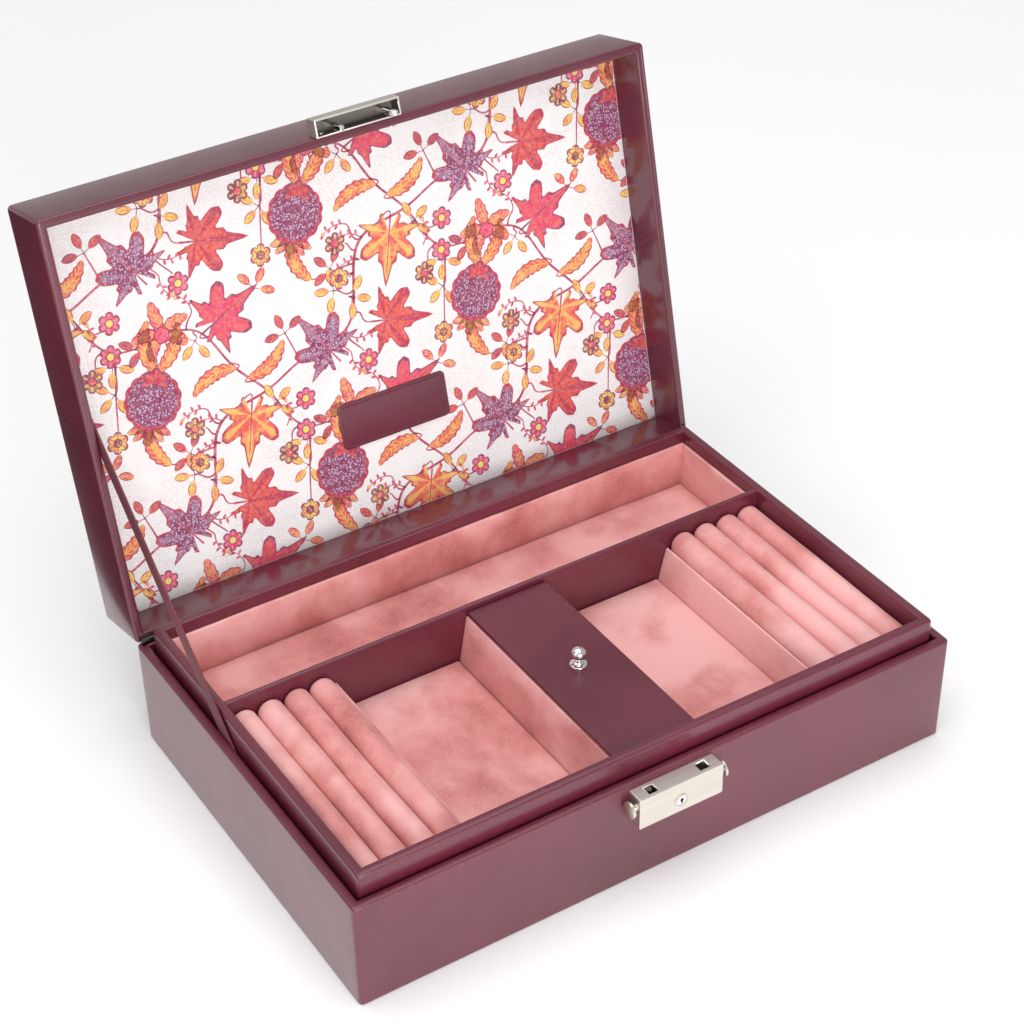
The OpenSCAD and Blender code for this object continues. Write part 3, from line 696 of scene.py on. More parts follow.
# The padded top: a flat border outside the stitch line, a dip under the thread, then a swell that levels out.
def lidTopPad():
    p = lidPanel
    half = (case["halfX"] - p["inset"], case["halfY"] - p["inset"])
    reach = half[1] - 0.4 * mm
    border = p["stitchLine"] + 3 * mm
    insets = np.concatenate([np.linspace(0, border, 26), np.geomspace(border + 0.6 * mm, reach, 22)])
    dip = p["dip"] * np.exp(-((insets - p["stitchLine"]) / p["dipWidth"]) ** 2)
    edge = p["edge"]
    fall = np.where(insets < edge, edge - np.sqrt(np.maximum(edge ** 2 - (edge - insets) ** 2, 0)), 0)
    under = [(reach, p["floor"]), (0.6 * mm, p["floor"]), (0.0, p["floor"] + 0.5 * mm)]
    profile = np.concatenate([under, np.stack([insets, p["edgeTop"] - dip - fall], 1)])
    grid = ringGrid(profile, half[0], half[1], p["corner"], (0.0, -pinY), perSide=60)
    top = grid[len(under):]
    away = [half[0] - np.abs(top[..., 0]), half[1] - np.abs(top[..., 1] + pinY)]
    slack = [(1 - np.clip((a - p["stitchLine"]) / p["riseOver"], 0, 1)) ** 3 for a in away]
    top[..., 2] += p["crown"] * (1 - slack[0]) * (1 - slack[1])
    piece = makePiece("lid_top_pad", onLid(grid), cappedFaces(*grid.shape[:2]), "leather", "lid", "lid_top_panel")


# One stitch is a short bent rod of a few faces; the row repeats it at an even pitch round the stitch line.
def stitchRow():
    p = lidPanel
    inset = p["inset"] + p["stitchLine"]
    ring = roundedRing(case["halfX"] - inset, case["halfY"] - inset, 0.6 * mm, perSide=200)
    ring = np.vstack([ring, ring[:1]])
    run = np.concatenate([[0], np.cumsum(np.linalg.norm(np.diff(ring, axis=0), axis=1))])
    count = int(run[-1] / p["stitchPitch"])
    at = (np.arange(count) + 0.5) * run[-1] / count
    steps = np.linspace(-0.5, 0.5, 6)
    spread = at[:, None] + steps[None] * p["stitchLength"]
    x = np.interp(spread, run, ring[:, 0])
    y = np.interp(spread, run, ring[:, 1]) - pinY
    ahead = np.stack([x[:, -1] - x[:, 0], y[:, -1] - y[:, 0]], 1)
    ahead /= np.linalg.norm(ahead, axis=1, keepdims=True)
    level = p["edgeTop"] - p["dip"] * 0.75
    z = level + 0.3 * mm * (1 - (2 * steps) ** 2)
    around = np.linspace(0, 2 * math.pi, 7)[:-1]
    thin = p["threadRadius"] * (1 - 0.55 * np.abs(2 * steps) ** 3)
    side = np.stack([-ahead[:, 1], ahead[:, 0]], 1)
    px = x[:, :, None] + side[:, 0, None, None] * np.cos(around) * thin[None, :, None]
    py = y[:, :, None] + side[:, 1, None, None] * np.cos(around) * thin[None, :, None]
    pz = np.broadcast_to(z[None, :, None], px.shape) + np.sin(around) * thin[None, :, None] * 0.7
    points = onLid(np.stack([px, py, pz], -1)).reshape(count, -1, 3)
    one = gridFaces(6, 6, closeColumns=True)
    ends = [[0, 1, 2, 3, 4, 5], [35, 34, 33, 32, 31, 30]]
    faces = (one[None] + 36 * np.arange(count)[:, None, None]).reshape(-1, 4).tolist()
    faces += (np.array(ends)[None] + 36 * np.arange(count)[:, None, None]).reshape(-1, 6).tolist()
    makePiece("lid_stitches", points, faces, "thread", "lid")


lidTopPad()
stitchRow()
print("lid top made")


# Velvet.
velvet = {"padEdge": 1.4 * mm, "sink": 0.35 * mm, "cell": 3.2 * mm, "padCap": 0.35 * mm, "wallFill": 0.85}
cloth = {"frames": 16, "pressure": 4.0, "quality": 4, "mass": 0.2, "stiffness": 18.0, "bending": 0.6}


# A flat rounded block: its outline in x and z is carried front to back and closed at both ends. The top is crowned
# by one less the fourth power of the distance from its middle line.
def velvetPad(node, crown, name, body, swelled=True):
    low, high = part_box(node)
    topAt = high.z - velvet["sink"]
    height = topAt - low.z
    edge = min(velvet["padEdge"], (high.z - low.z) / 2 - 0.05 * mm)
    count = max(int((high.x - low.x) / velvet["cell"]), 6)
    xs = np.linspace(high.x - edge, low.x + edge, count)
    bow = 1 - (2 * (xs - low.x) / (high.x - low.x) - 1) ** 4
    turn = np.linspace(0, math.pi, 9)[1:-1]
    up, out = height / 2 * np.cos(turn), edge * np.sin(turn)
    outline = np.concatenate([np.stack([xs, topAt + crown * bow], 1),
                              np.stack([low.x + edge - out, (topAt + low.z) / 2 + up], 1),
                              np.stack([xs[::-1], np.full(count, low.z)], 1),
                              np.stack([high.x - edge + out, (topAt + low.z) / 2 - up], 1)])
    points, faces = loftAlongY(outline, low.y, high.y, edge, int((high.y - low.y) / velvet["cell"]))
    piece = makePiece(name, points, faces, "velvet", node=node)
    if swelled:
        swell(piece, velvet["padCap"], lambda p: p[:, 2] < low.z + 1.2 * mm)
    finishPad(piece, body)


# One level of smoothing, then the pad rides on its body.
def finishPad(piece, body):
    smooth = piece.modifiers.new("smooth", "SUBSURF")
    smooth.levels = smooth.render_levels = 1
    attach(piece, body)


def readPoints(mesh):
    points = np.empty(len(mesh.vertices) * 3)
    mesh.vertices.foreach_get("co", points)
    return points.reshape(-1, 3)


def writePoints(mesh, points):
    mesh.vertices.foreach_set("co", points.ravel())
    mesh.update()


# Air pressure swells the closed form; no point may end further than cap from where it began.
def swell(piece, cap, hold):
    start = readPoints(piece.data)
    piece.vertex_groups.new(name="held").add(np.nonzero(hold(start))[0].tolist(), 1.0, "REPLACE")
    pressure = piece.modifiers.new("pressure", "CLOTH")
    settings = pressure.settings
    settings.quality, settings.mass = cloth["quality"], cloth["mass"]
    settings.use_pressure, settings.uniform_pressure_force = True, cloth["pressure"]
    settings.effector_weights.gravity = 0.0
    settings.vertex_group_mass = "held"
    settings.tension_stiffness = settings.compression_stiffness = cloth["stiffness"]
    settings.bending_stiffness = cloth["bending"]
    pressure.point_cache.frame_start, pressure.point_cache.frame_end = 1, cloth["frames"]
    scene = bpy.context.scene
    for frameNumber in range(1, cloth["frames"] + 1):
        scene.frame_set(frameNumber)
    solved = piece.evaluated_get(bpy.context.evaluated_depsgraph_get())
    move = readPoints(solved.to_mesh()) - start
    solved.to_mesh_clear()
    length = np.linalg.norm(move, axis=1, keepdims=True)
    move *= np.minimum(1.0, cap / np.maximum(length, 1e-9))
    piece.modifiers.remove(pressure)
    piece.vertex_groups.clear()
    writePoints(piece.data, start + move)
    scene.frame_set(1)


for name in ("rear", "left", "right", "centre"):
    velvetPad(name + "_compartment_pad", 0.3 * mm, name + "_pad", "tray")
velvetPad("base_floor_pad", 0.2 * mm, "base_pad", "base", swelled=False)
print("velvet pads made")


# A ring roll: a round top over a straight body, each with its own slight lean and sag.
roll = {"clear": 0.12 * mm, "slim": 0.1 * mm, "foot": 0.4 * mm, "endRound": 2.2 * mm, "swellCap": 0.45 * mm,
        "heldBelow": 9 * mm, "lean": 0.22 * mm, "sag": 0.3 * mm, "fill": 0.9}


def ringRoll(node, name, turn):
    low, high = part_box(node)
    middle = (low.x + high.x) / 2
    radius = (high.x - low.x) / 2 - roll["clear"]
    centreZ = high.z - (high.x - low.x) / 2
    arc = np.linspace(0, math.pi, 15)
    down = np.linspace(centreZ, low.z + roll["foot"], 9)[1:]
    sideAt = radius - roll["slim"]
    outline = np.concatenate([
        np.stack([middle + radius * np.cos(arc), centreZ + radius * np.sin(arc)], 1),
        np.stack([np.full(8, middle - sideAt), down], 1),
        np.stack([np.linspace(middle - radius + 1 * mm, middle + radius - 1 * mm, 5), np.full(5, low.z)], 1),
        np.stack([np.full(8, middle + sideAt), down[::-1]], 1)])
    points, faces = loftAlongY(outline, low.y + 0.1 * mm, high.y - 0.1 * mm, roll["endRound"], 46, 6)
    piece = makePiece(name, points, faces, "rollVelvet", node=node)
    swell(piece, roll["swellCap"], lambda p: p[:, 2] < centreZ - roll["heldBelow"])
    at = readPoints(piece.data)
    share = np.clip((at[:, 2] - low.z) / (high.z - low.z), 0, 1) ** 2
    at[:, 0] = np.clip(at[:, 0] + share * roll["lean"] * np.sin(at[:, 1] * 55 + 2.3 * turn),
                       low.x - 0.02 * mm, high.x + 0.02 * mm)
    at[:, 2] -= share * roll["sag"] * (0.5 + 0.5 * np.sin(at[:, 1] * 83 + 1.7 * turn))
    writePoints(piece.data, at)
    finishPad(piece, "tray")


for side in ("left", "right"):
    for number in range(1, 5):
        ringRoll(f"ring_roll_{side}_{number}", f"roll_{side}_{number}", number + (0.5 if side == "left" else 0))
print("ring rolls made")


# Feet and top edges of the leaning walls are measured out from the middle of the case.
walls = {"rearThick": 1.7 * mm, "thick": 1.3 * mm, "partitionFoot": 78.9 * mm, "partitionTop": 83.2 * mm,
         "centreFoot": 24.4 * mm, "centreTop": 20.2 * mm}


# The velvet wall round the rear compartment: a thin standing band with a rolled upper edge.
def rearLining():
    low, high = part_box("rear_compartment_lining")
    half = ((high.x - low.x) / 2, (high.y - low.y) / 2)
    centre = ((high.x + low.x) / 2, (high.y + low.y) / 2)
    thick, mid = walls["rearThick"], 40 * mm
    section = filletPath([(thick, mid), (thick, low.z), (0, low.z), (0, high.z), (thick, high.z), (thick, mid)],
                         [0.1 * mm, 0.1 * mm, 0.7 * mm, 0.7 * mm], 4)[:-1]
    grid = ringGrid(section, half[0], half[1], 0.5 * mm, centre, perSide=60)
    grid[..., 2] += waver(grid, 0.16 * mm) * (grid[..., 2] > high.z - 3 * mm)
    makePiece("rear_wall_velvet", grid, gridFaces(*grid.shape[:2], True, True), "velvet", "tray",
              "rear_compartment_lining")


# Long segments of a closed outline are cut so that none is longer than step.
def densify(outline, step):
    parts = []
    for a, b in zip(outline, np.roll(outline, -1, 0)):
        cuts = max(int(np.linalg.norm(b - a) / step), 1)
        parts.append(a + (b - a) * (np.arange(cuts) / cuts)[:, None])
    return np.concatenate(parts)


# A velvet board that leans from its foot to its top edge, rounded along that edge.
def leaningWall(node, name, foot, top, thick):
    low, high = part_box(node)
    middle = ((foot + top) / 2, (low.z + high.z) / 2)
    outline = filletPath([middle, (top, high.z), (top + thick, high.z), (foot + thick, low.z), (foot, low.z), middle],
                         [0.6 * mm, 0.6 * mm, 0.1 * mm, 0.1 * mm], 4)[:-1]
    points, faces = loftAlongY(densify(outline, 2.4 * mm), low.y, high.y, 0.3 * mm, 48, 3)
    points[:, 2] += (points[:, 2] > high.z - 2.5 * mm) * waver(points, 0.12 * mm)
    makePiece(name, points, faces, "velvet", "tray", node)


rearLining()
for side, sign in (("left", -1), ("right", 1)):
    thick = walls["thick"] * sign
    leaningWall(side + "_partition", side + "_partition_velvet", sign * walls["partitionFoot"],
                sign * walls["partitionTop"], thick)
    leaningWall("centre_wall_" + side, side + "_centre_wall_velvet", sign * walls["centreFoot"],
                sign * walls["centreTop"], -thick)
print("velvet walls made")


# Metal parts.
hollow = {"halfX": 19.2 * mm, "back": (-192.5 * mm, -185.7 * mm), "deep": (-1.3 * mm, 4.85 * mm)}


# The cap's inside takes painted shade: its faces inside the hollow, measured back in the shut lid's own directions,
# get a dark, rough nickel that stands in for the shade there.
def paintHollowShade(piece):
    mesh = piece.data
    mesh.materials.append(looks["paintedShadeNickel"])
    middle = np.empty(len(mesh.polygons) * 3)
    mesh.polygons.foreach_get("center", middle)
    x, y, z = middle.reshape(-1, 3).T
    back = (y - pinY) * math.cos(openAngle) - (z - pinZ) * math.sin(openAngle)
    deep = (y - pinY) * math.sin(openAngle) + (z - pinZ) * math.cos(openAngle)
    inside = np.abs(x) < hollow["halfX"]
    for along, (least, most) in ((back, hollow["back"]), (deep, hollow["deep"])):
        inside &= (along > least) & (along < most)
    mesh.polygons.foreach_set("material_index", inside.astype(np.int32))


# A button's spring keeps one end in the case and the other on the button, so it closes up as the button goes in.
def buttonSpring(side):
    node = "button_spring_" + side
    piece = nodeCopy("coil_" + side, node, "spring", 50.0)
    low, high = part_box(node)
    y, z = (low.y + high.y) / 2, (low.z + high.z) / 2
    ends = [(low.x, y, z), (high.x, y, z)]
    if side == "left":
        ends.reverse()
    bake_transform(piece, "base", "button_" + side, start=ends[0], end=ends[1])


bevelledCopy("lock_case", "lock_body", 0.45 * mm, "nickel", "base")
paintHollowShade(bevelledCopy("lock_cap_shell", "lock_cap", 0.4 * mm, "nickel", "lid"))
bevelledCopy("cap_hook_pair", "cap_hooks", 0.25 * mm, "chrome", "lid", 1.0 * mm)
for side in ("left", "right"):
    bevelledCopy(side + "_button", "button_" + side, 0.2 * mm, "nickel", "button_" + side, 3.0 * mm)
    buttonSpring(side)

knob = {"flange": 3.7 * mm, "neck": 1.5 * mm, "ball": 3.3 * mm, "ballHigh": 3.1 * mm, "ballAt": 5.6 * mm}


# The knob is turned: stud, flange with a raised step, narrow neck and a slightly flattened ball.
def turnedKnob():
    low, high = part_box("cover_knob")
    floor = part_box("cover_panel")[1].z
    x, y = (low.x + high.x) / 2, (low.y + high.y) / 2
    angle = np.linspace(-0.9, math.pi / 2, 18)
    ball = np.stack([knob["ball"] * np.cos(angle), knob["ballAt"] + knob["ballHigh"] * np.sin(angle)], 1)
    ball[-1, 0] = 0.0
    foot = filletPath([(0, -4 * mm), (1.2 * mm, -4 * mm), (1.2 * mm, 0.05 * mm), (knob["flange"], 0.05 * mm),
                       (knob["flange"], 0.75 * mm), (2.4 * mm, 0.9 * mm), (2.2 * mm, 1.5 * mm),
                       (knob["neck"], 1.9 * mm), (knob["neck"], 2.9 * mm)],
                      [0.05 * mm, 0.05 * mm, 0.15 * mm, 0.3 * mm, 0.15 * mm, 0.2 * mm, 0.2 * mm], 4)
    profile = np.concatenate([foot, ball])
    turn = np.linspace(0, 2 * math.pi, 49)[:-1]
    grid = np.stack([x + profile[:, :1] * np.cos(turn), y + profile[:, :1] * np.sin(turn),
                     np.broadcast_to(floor + profile[:, 1:], (len(profile), 48))], -1)
    makePiece("knob_turned", grid, gridFaces(*grid.shape[:2], closeColumns=True), "chrome", "cover", "cover_knob")


turnedKnob()
print("metal parts made")


# Lining sheet and its print.
sheet = {"halfX": 138.45 * mm, "near": 3.45 * mm, "far": 181.35 * mm, "face": 20.5 * mm, "back": 25.5 * mm,
         "margin": 0.3 * mm, "lift": 0.02 * mm}


def liningSheet():
    half = (sheet["halfX"], (sheet["far"] - sheet["near"]) / 2)
    middle = -(sheet["far"] + sheet["near"]) / 2
    profile = filletPath([(20 * mm, sheet["back"]), (0, sheet["back"]), (0, sheet["face"]), (20 * mm, sheet["face"])],
                         [0.1 * mm, 0.1 * mm], 2)
    grid = ringGrid(profile, half[0], half[1], 0.05 * mm, (0.0, middle), perSide=20, perCorner=2)
    makePiece("lining_sheet", onLid(grid), cappedFaces(*grid.shape[:2]), "lining", "lid", "lid_lining_panel")


liningSheet()
inks = {"crimson": colour(186, 44, 78), "plum": colour(140, 48, 92), "coral": colour(228, 92, 78),
        "rose": colour(222, 66, 104), "lavender": colour(196, 176, 206), "pink": colour(240, 140, 160),
        "yellow": colour(244, 212, 104)}
motifs = {key: [] for key in ("vines", "leaves", "flowers")}


# Keeps one motif: its grid of points on the sheet, its map, its three inks and its (edge share, dots, veins).
def keepMotif(group, points, across, along, level, edge, body, detail, kind):
    motifs[group].append({"points": points, "across": across, "along": along, "level": level,
                          "inks": (inks[edge], inks[body], inks[detail]), "kind": kind})


def turned(points, angle, place):
    c, s = math.cos(angle), math.sin(angle)
    return points @ np.array([[c, s], [-s, c]]) + place


# A blade: its spine bends as a circular arc, its half width rises and falls along it as a sine raised to a power,
# and teeth or lobes cut into the width as a cosine of the same length.
def blade(group, place, angle, length, width, edge, body, detail, kind, bend=0.0, teeth=0, cut=0.0, level=2,
          ribs=5.0, blunt=0.7):
    t = np.linspace(0, 1, max(14, 4 * teeth + 8))[:, None]
    s = np.linspace(-1, 1, 7)[None]
    if abs(bend) > 1e-3:
        spine = np.stack([np.sin(bend * t), 1 - np.cos(bend * t)], -1) * length / bend
    else:
        spine = np.stack([t * length, 0 * t], -1)
    heading = bend * t
    lobe = 1 - cut * (0.5 + 0.5 * np.cos(2 * math.pi * teeth * t)) if teeth else 1.0
    half = width / 2 * np.sin(math.pi * t ** 0.8) ** blunt * lobe
    forward = 0.35 * half * np.abs(s) ** 1.5
    points = np.stack([spine[..., 0] - np.sin(heading) * s * half + np.cos(heading) * forward,
                       spine[..., 1] + np.cos(heading) * s * half + np.sin(heading) * forward], -1)
    across = np.broadcast_to(s, points.shape[:2])
    along = np.broadcast_to(t * ribs, points.shape[:2])
    keepMotif(group, turned(points, angle, place), across, along, level, edge, body, detail, kind)


# A round motif: the radius swings with a cosine n times round, and an envelope may stretch it one way. A pointed one
# swings in straight lines instead, with small teeth between.
def bloom(group, place, angle, radius, petals, edge, body, detail, kind, depth=0.3, power=0.8, stretch=0.0,
          level=3, arc=2 * math.pi, tip=0.0, pointed=0):
    columns = max(int((18 if pointed else 8) * petals * arc / (2 * math.pi)), 16)
    phi = np.linspace(-arc / 2, arc / 2, columns + 1)[None]
    rho = np.linspace(0, 1, 5)[:, None]
    swing = np.abs(np.cos(phi * petals / 2))
    wave = (2 / math.pi * np.arcsin(swing)) ** power if pointed else swing ** power
    wave = wave + pointed * 0.1 * np.arcsin(np.sin(phi * petals * 2.5 + math.pi / 2))
    reach = radius * (1 - depth + depth * wave) * (1 + stretch * np.cos(phi)) * (1 + tip * np.clip(wave, 0, 1) ** 6)
    points = np.stack([rho * reach * np.cos(phi), rho * reach * np.sin(phi)], -1)
    across = np.broadcast_to(rho, points.shape[:2])
    along = phi * petals / (2 * math.pi) + 0.5 + 0.9 * rho
    keepMotif(group, turned(points, angle, place), across, along, level, edge, body, detail, kind)


# A ribbon along a smooth line through the given points, tapering from one width to another.
def ribbon(group, line, widths, edge="plum", body="crimson", level=0):
    line = np.array(line, float)
    ahead = np.gradient(line, axis=0)
    ahead /= np.maximum(np.linalg.norm(ahead, axis=1, keepdims=True), 1e-9)
    side = np.stack([-ahead[:, 1], ahead[:, 0]], 1)
    width = np.interp(np.linspace(0, 1, len(line)), np.linspace(0, 1, len(widths)), widths)[:, None] / 2
    s = np.array([-1.0, 0.0, 1.0])
    points = line[:, None] + side[:, None] * (s[None, :, None] * width[:, :, None])
    across = np.broadcast_to(s[None], points.shape[:2])
    run = np.concatenate([[0], np.cumsum(np.linalg.norm(np.diff(line, axis=0), axis=1))]) / (2 * mm)
    along = np.broadcast_to(run[:, None], points.shape[:2])
    keepMotif(group, points, across, along, level, edge, body, "pink", (0.35, 0.0, 0.0))


# A cubic Bezier line through four control points.
def curve(a, b, c, d, steps=18):
    t = np.linspace(0, 1, steps)[:, None]
    a, b, c, d = (np.array(p, float) for p in (a, b, c, d))
    return (1 - t) ** 3 * a + 3 * t * (1 - t) ** 2 * b + 3 * t ** 2 * (1 - t) * c + t ** 3 * d


def heading(angle):
    return np.array([math.cos(angle), math.sin(angle)])


# Motifs built from the three shapes above.
def lobedLeaf(place, angle, size, edge, body, detail, kind):
    bloom("leaves", place + heading(angle) * size * 0.5, angle, size * 0.98, 7, edge, body, detail, kind, 0.46, 1.15,
          0.36, level=3, arc=math.pi * 1.72, tip=0.12, pointed=1)
    ribbon("leaves", curve(place, place + heading(angle) * size * 0.5, place + heading(angle) * size,
                           place + heading(angle) * size * 1.7, 10), (0.9 * mm, 0.35 * mm), edge, edge, 4.0)


def rosette(place, size, outer, inner, detail):
    bloom("flowers", place, 0.3, size, 6, "plum", outer, detail, (0.16, 0.0, 0.8), 0.3, 0.6, level=4)
    bloom("flowers", place, 0.0, size * 0.42, 8, "plum", inner, "yellow", (0.25, 0.7, 0.0), 0.12, 1.0, level=5)


def starFlower(place, angle, size):
    for turn in np.linspace(-1.9, 1.9, 5):
        blade("flowers", place, angle + turn, size * (1.2 - 0.12 * abs(turn)), size * 0.5, "crimson", "rose",
              "yellow", (0.2, 0.5, 0.4), 0.9 * np.sign(turn) * min(abs(turn), 1.0), 4, 0.18, 3, 6.0, 0.6)
    bloom("flowers", place, angle, size * 0.3, 5, "crimson", "rose", "pink", (0.2, 0.4, 0.0), 0.15, level=5)


def feather(place, angle, size, bend):
    blade("leaves", place, angle, size * 2.0, size * 0.6, "crimson", "coral", "yellow", (0.22, 0.0, 0.6), bend, 7,
          0.2, 3, 9.0, 0.6)


def fruit(place, angle, size):
    feather(place - heading(angle) * size * 0.7, angle + 2.3, size * 0.75, 1.1)
    feather(place - heading(angle) * size * 0.7, angle - 2.3, size * 0.75, -1.1)
    for turn in (-0.75, -0.38, 0.0, 0.38, 0.75):
        blade("flowers", place + heading(angle) * size * 0.55, angle + turn, size * 0.75, size * 0.28, "plum",
              "rose", "yellow", (0.2, 0.0, 0.5), 0.5 * np.sign(turn), 0, 0.0, 3, 4.0)
    bloom("flowers", place, angle, size * 0.82, 14, "crimson", "plum", "lavender", (0.12, 1.0, 0.0), 0.06, 1.0, 0.08,
          level=4)
    bloom("flowers", place - heading(angle) * size * 0.42, angle + math.pi, size * 0.42, 7, "plum", "crimson",
          "coral", (0.16, 0.0, 0.7), 0.3, 0.7, level=5, arc=math.pi * 1.2)


def sprig(place, angle, size, edge, body, detail):
    for turn in (0.0, 1.15, -1.15):
        ribbon("vines", curve(place, place + heading(angle) * size * 0.2, place + heading(angle + turn) * size * 0.3,
                              place + heading(angle + turn) * size * 0.45, 6), (0.5 * mm, 0.3 * mm), "plum", "plum")
        blade("leaves", place + heading(angle + turn) * size * 0.4, angle + turn, size, size * 0.52, edge, body,
              detail, (0.24, 0.0, 0.55), 0.35 * np.sign(turn), 0, 0.0, 2, 3.0)


def berries(place, angle, size):
    line = curve(place, place + heading(angle) * size * 0.6, place + heading(angle + 0.3) * size * 1.2,
                 place + heading(angle + 0.6) * size * 1.9, 14)
    ribbon("vines", line, (0.6 * mm, 0.3 * mm))
    for k in range(3, 14, 2):
        turn = angle + 0.3 + (1.1 if k % 4 == 1 else -1.1)
        blade("leaves", line[k], turn, size * 0.42, size * 0.2, "crimson", "rose", "pink", (0.3, 0.0, 0.0), level=2)
    bloom("flowers", line[-1], angle, size * 0.16, 3, "coral", "yellow", "coral", (0.3, 0.0, 0.0), level=3)


# The repeat: two slanted steps carry the same cell over the sheet, each column half a drop from the next.
repeat = {"stepA": np.array([79.0, 59.0]) * mm, "stepB": np.array([79.0, -59.0]) * mm, "seed": 11,
          "sway": 9.0 * mm, "vine": 1.35 * mm}
cellPlan = [("fruit", 16.0, 1), ("leaf", 16.2, 4), ("star", 13.0, 1), ("feather", 12.0, 3), ("rosette", 5.5, 7),
            ("sprig", 7.0, 10), ("berries", 6.0, 7)]


# A vine runs along one slanted step: a straight line plus two sines across it, so that it meets its own repeat.
def vineLine(step, start, phase):
    t = np.linspace(0, 1, 60)[:, None]
    across = np.array([-step[1], step[0]]) / np.linalg.norm(step)
    sway = repeat["sway"] * (np.sin(2 * math.pi * t + phase) + 0.35 * np.sin(4 * math.pi * t + 2 * phase))
    return start + step * t + across * sway


vineA = vineLine(repeat["stepA"], np.array([0.0, 0.0]), 0.4)
vineB = vineLine(repeat["stepB"], np.array([12.0, 34.0]) * mm, 2.6)


# Places fill the cell by best candidate: of many random places, the one furthest from those already taken.
def plannedPlaces():
    rng = np.random.default_rng(repeat["seed"])
    basis = np.stack([repeat["stepA"], repeat["stepB"]], 1)
    back = np.linalg.inv(basis)
    taken, radii, found = [], [], []
    for kind, size, count in cellPlan:
        radius = size * mm
        for _ in range(count):
            tries = (basis @ rng.random((2, 900))).T
            if taken:
                gap = (tries[:, None] - np.array(taken)[None]) @ back.T
                gap -= np.round(gap)
                clear = np.linalg.norm(gap @ basis.T, axis=2) - np.array(radii)[None] - radius
                best = tries[np.argmax(clear.min(1))]
            else:
                best = tries[0]
            taken.append(best)
            radii.append(radius)
            found.append((kind, best, radius, rng.random(4)))
    return found


def drawCell():
    ribbon("vines", vineA, (repeat["vine"], repeat["vine"] * 0.75, repeat["vine"]), "plum", "crimson")
    ribbon("vines", vineB, (repeat["vine"] * 0.8, repeat["vine"] * 0.6, repeat["vine"] * 0.8), "plum", "crimson")
    shifts = [i * repeat["stepA"] + j * repeat["stepB"] for i in (-1, 0, 1) for j in (-1, 0, 1)]
    onVines = np.concatenate([line + shift for line in (vineA, vineB) for shift in shifts])
    leafInks = [("crimson", "plum", "lavender", (0.11, 1.0, 0.3)), ("crimson", "coral", "yellow", (0.11, 0.0, 0.6)),
                ("plum", "rose", "coral", (0.1, 0.6, 0.5)), ("crimson", "coral", "crimson", (0.1, 0.7, 0.8))]
    leafCount = roseCount = 0
    for kind, place, radius, chance in plannedPlaces():
        nearest = onVines[np.argmin(np.linalg.norm(onVines - place, axis=1))]
        away = place - nearest
        far = np.linalg.norm(away)
        angle = math.atan2(away[1], away[0]) + (chance[0] - 0.5) * 1.2
        foot = place - heading(angle) * radius * 0.85
        side = heading(angle + math.pi / 2) * (chance[1] - 0.5) * far * 0.8
        if far > 3 * mm:
            ribbon("vines", curve(nearest, nearest + away * 0.3 + side, foot - heading(angle) * radius * 0.4, foot),
                   (0.9 * mm, 0.55 * mm))
        if kind == "fruit":
            fruit(place, angle, radius)
        elif kind == "leaf":
            lobedLeaf(foot, angle, radius * 0.92, *leafInks[leafCount % 4])
            leafCount += 1
        elif kind == "star":
            starFlower(place - heading(angle) * radius * 0.3, angle, radius)
        elif kind == "feather":
            feather(foot, angle - 0.5, radius, 1.2 if chance[2] > 0.5 else -1.2)
        elif kind == "rosette":
            rosette(place, radius * 0.92, ("rose", "yellow", "plum")[roseCount % 3],
                    ("yellow", "plum", "rose")[roseCount % 3], ("pink", "coral", "yellow")[roseCount % 3])
            roseCount += 1
        elif kind == "sprig":
            pick = int(chance[3] * 3)
            sprig(foot, angle, radius * 1.05, ("crimson", "plum", "crimson")[pick],
                  ("rose", "coral", "yellow")[pick], ("yellow", "plum", "coral")[pick])
        else:
            berries(foot, angle, radius)


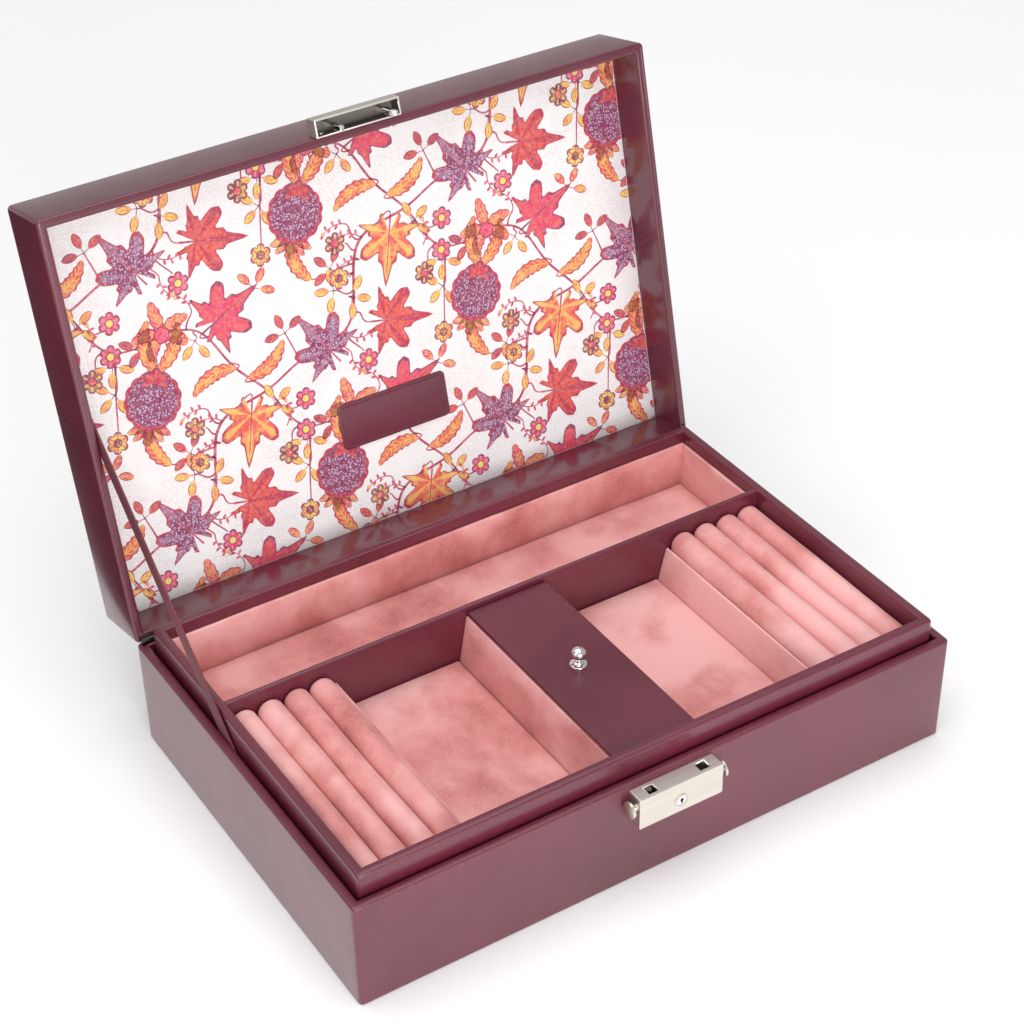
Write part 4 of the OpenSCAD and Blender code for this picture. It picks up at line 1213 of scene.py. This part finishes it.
# Every motif is repeated over the sheet; what passes the sheet's edge is pressed flat against it and dropped.
def printGroup(group, name):
    low = np.array([-sheet["halfX"], sheet["near"]]) + sheet["margin"]
    high = np.array([sheet["halfX"], sheet["far"]]) - sheet["margin"]
    shifts = [i * repeat["stepA"] + j * repeat["stepB"] for i in range(-4, 5) for j in range(-4, 5)]
    points, faces, maps, inkRows, kinds, total = [], [], [], [[], [], []], [], 0
    for motif in motifs[group]:
        rows, columns = motif["points"].shape[:2]
        patch = gridFaces(rows, columns)
        for shift in shifts:
            moved = motif["points"] + shift
            if (moved.max((0, 1)) < low).any() or (moved.min((0, 1)) > high).any():
                continue
            moved = np.clip(moved, low, high).reshape(-1, 2)
            corner = moved[patch]
            size = 0.5 * np.abs((corner[:, 2, 0] - corner[:, 0, 0]) * (corner[:, 3, 1] - corner[:, 1, 1])
                                - (corner[:, 3, 0] - corner[:, 1, 0]) * (corner[:, 2, 1] - corner[:, 0, 1]))
            keep = patch[size > 1e-10]
            if not len(keep):
                continue
            depth = sheet["face"] - sheet["lift"] * (1 + motif["level"])
            points.append(np.column_stack([moved[:, 0], -moved[:, 1], np.full(len(moved), depth)]))
            faces.append(keep + total)
            total += len(moved)
            maps.append(np.stack([motif["across"].ravel(), motif["along"].ravel()], 1))
            for row, shade in zip(inkRows, motif["inks"]):
                row.append(np.tile(shade, (len(moved), 1)))
            kinds.append(np.tile(motif["kind"] + (1.0,), (len(moved), 1)))
    points, faces, maps = np.concatenate(points), np.concatenate(faces), np.concatenate(maps)
    points = onLid(points)
    # the printed side faces out of the lid
    first = points[faces[:, 1]] - points[faces[:, 0]]
    second = points[faces[:, 2]] - points[faces[:, 0]]
    outward = onLid(np.array([[0, 0, -1.0]]))[0] - onLid(np.zeros((1, 3)))[0]
    back = np.cross(first, second) @ outward < 0
    faces[back] = faces[back][:, ::-1]
    mesh = bpy.data.meshes.new(name)
    mesh.from_pydata(points.tolist(), [], faces.tolist())
    loops = np.empty(len(mesh.loops), np.int32)
    mesh.loops.foreach_get("vertex_index", loops)
    mesh.uv_layers.new(name="motif").data.foreach_set("uv", maps[loops].astype(np.float32).ravel())
    for key, rows in zip(("edgeInk", "bodyInk", "detailInk", "motifKind"), inkRows + [kinds]):
        mesh.attributes.new(key, "FLOAT_COLOR", "POINT").data.foreach_set(
            "color", np.concatenate(rows).astype(np.float32).ravel())
    mesh.materials.append(looks["ink"])
    mesh.update()
    piece = addObject(name, mesh)
    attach(piece, "lid")
    print(name, len(mesh.polygons), "faces")


drawCell()
printGroup("vines", "print_vines")
printGroup("leaves", "print_leaves")
printGroup("flowers", "print_flowers")


# Finish of the CAD nodes that still show or stand inside: each takes the look of the slot that it was packed with.
for node in cadNodes.values():
    slotName = node.data.materials[0].name.split(".")[0]
    node.data.materials.clear()
    node.data.materials.append(looks[lookOfSlot[slotName]])
print("CAD nodes finished")


# A level sheet of the studio, from one corner to the other at a height.
def stageSheet(name, low, high, level, material):
    mesh = bpy.data.meshes.new(name)
    mesh.from_pydata([(low[0], low[1], level), (high[0], low[1], level), (high[0], high[1], level),
                      (low[0], high[1], level)], [], [(0, 1, 2, 3)])
    mesh.materials.append(material)
    added = addObject(name, mesh)
    return added


def studioFloor():
    half = studio["floorSize"] / 2
    material, tree, place = startMaterial("paleFloor", {"Roughness": 0.9, "Specular IOR Level": 0.1})
    shade = blendColour(tree, noiseAt(tree, place, 3.0), (0.96, 0.96, 0.96, 1.0), (0.98, 0.98, 0.98, 1.0))
    stageSheet("floor", (-half, -half), (half, half), 0.0, finishMaterial(material, {"Base Color": shade}))


# A dark card lies to the left behind the case. Only reflections see it, so the lid's left side keeps its colour.
def darkCard():
    material = startMaterial("cardBlack", {"Roughness": 1.0, "Specular IOR Level": 0.0,
                                           "Base Color": (0.05, 0.03, 0.03, 1.0)})[0]
    card = stageSheet("dark_card", *studio["card"], material)
    card.visible_camera = card.visible_diffuse = card.visible_shadow = False


studioFloor()
darkCard()
print("finished")
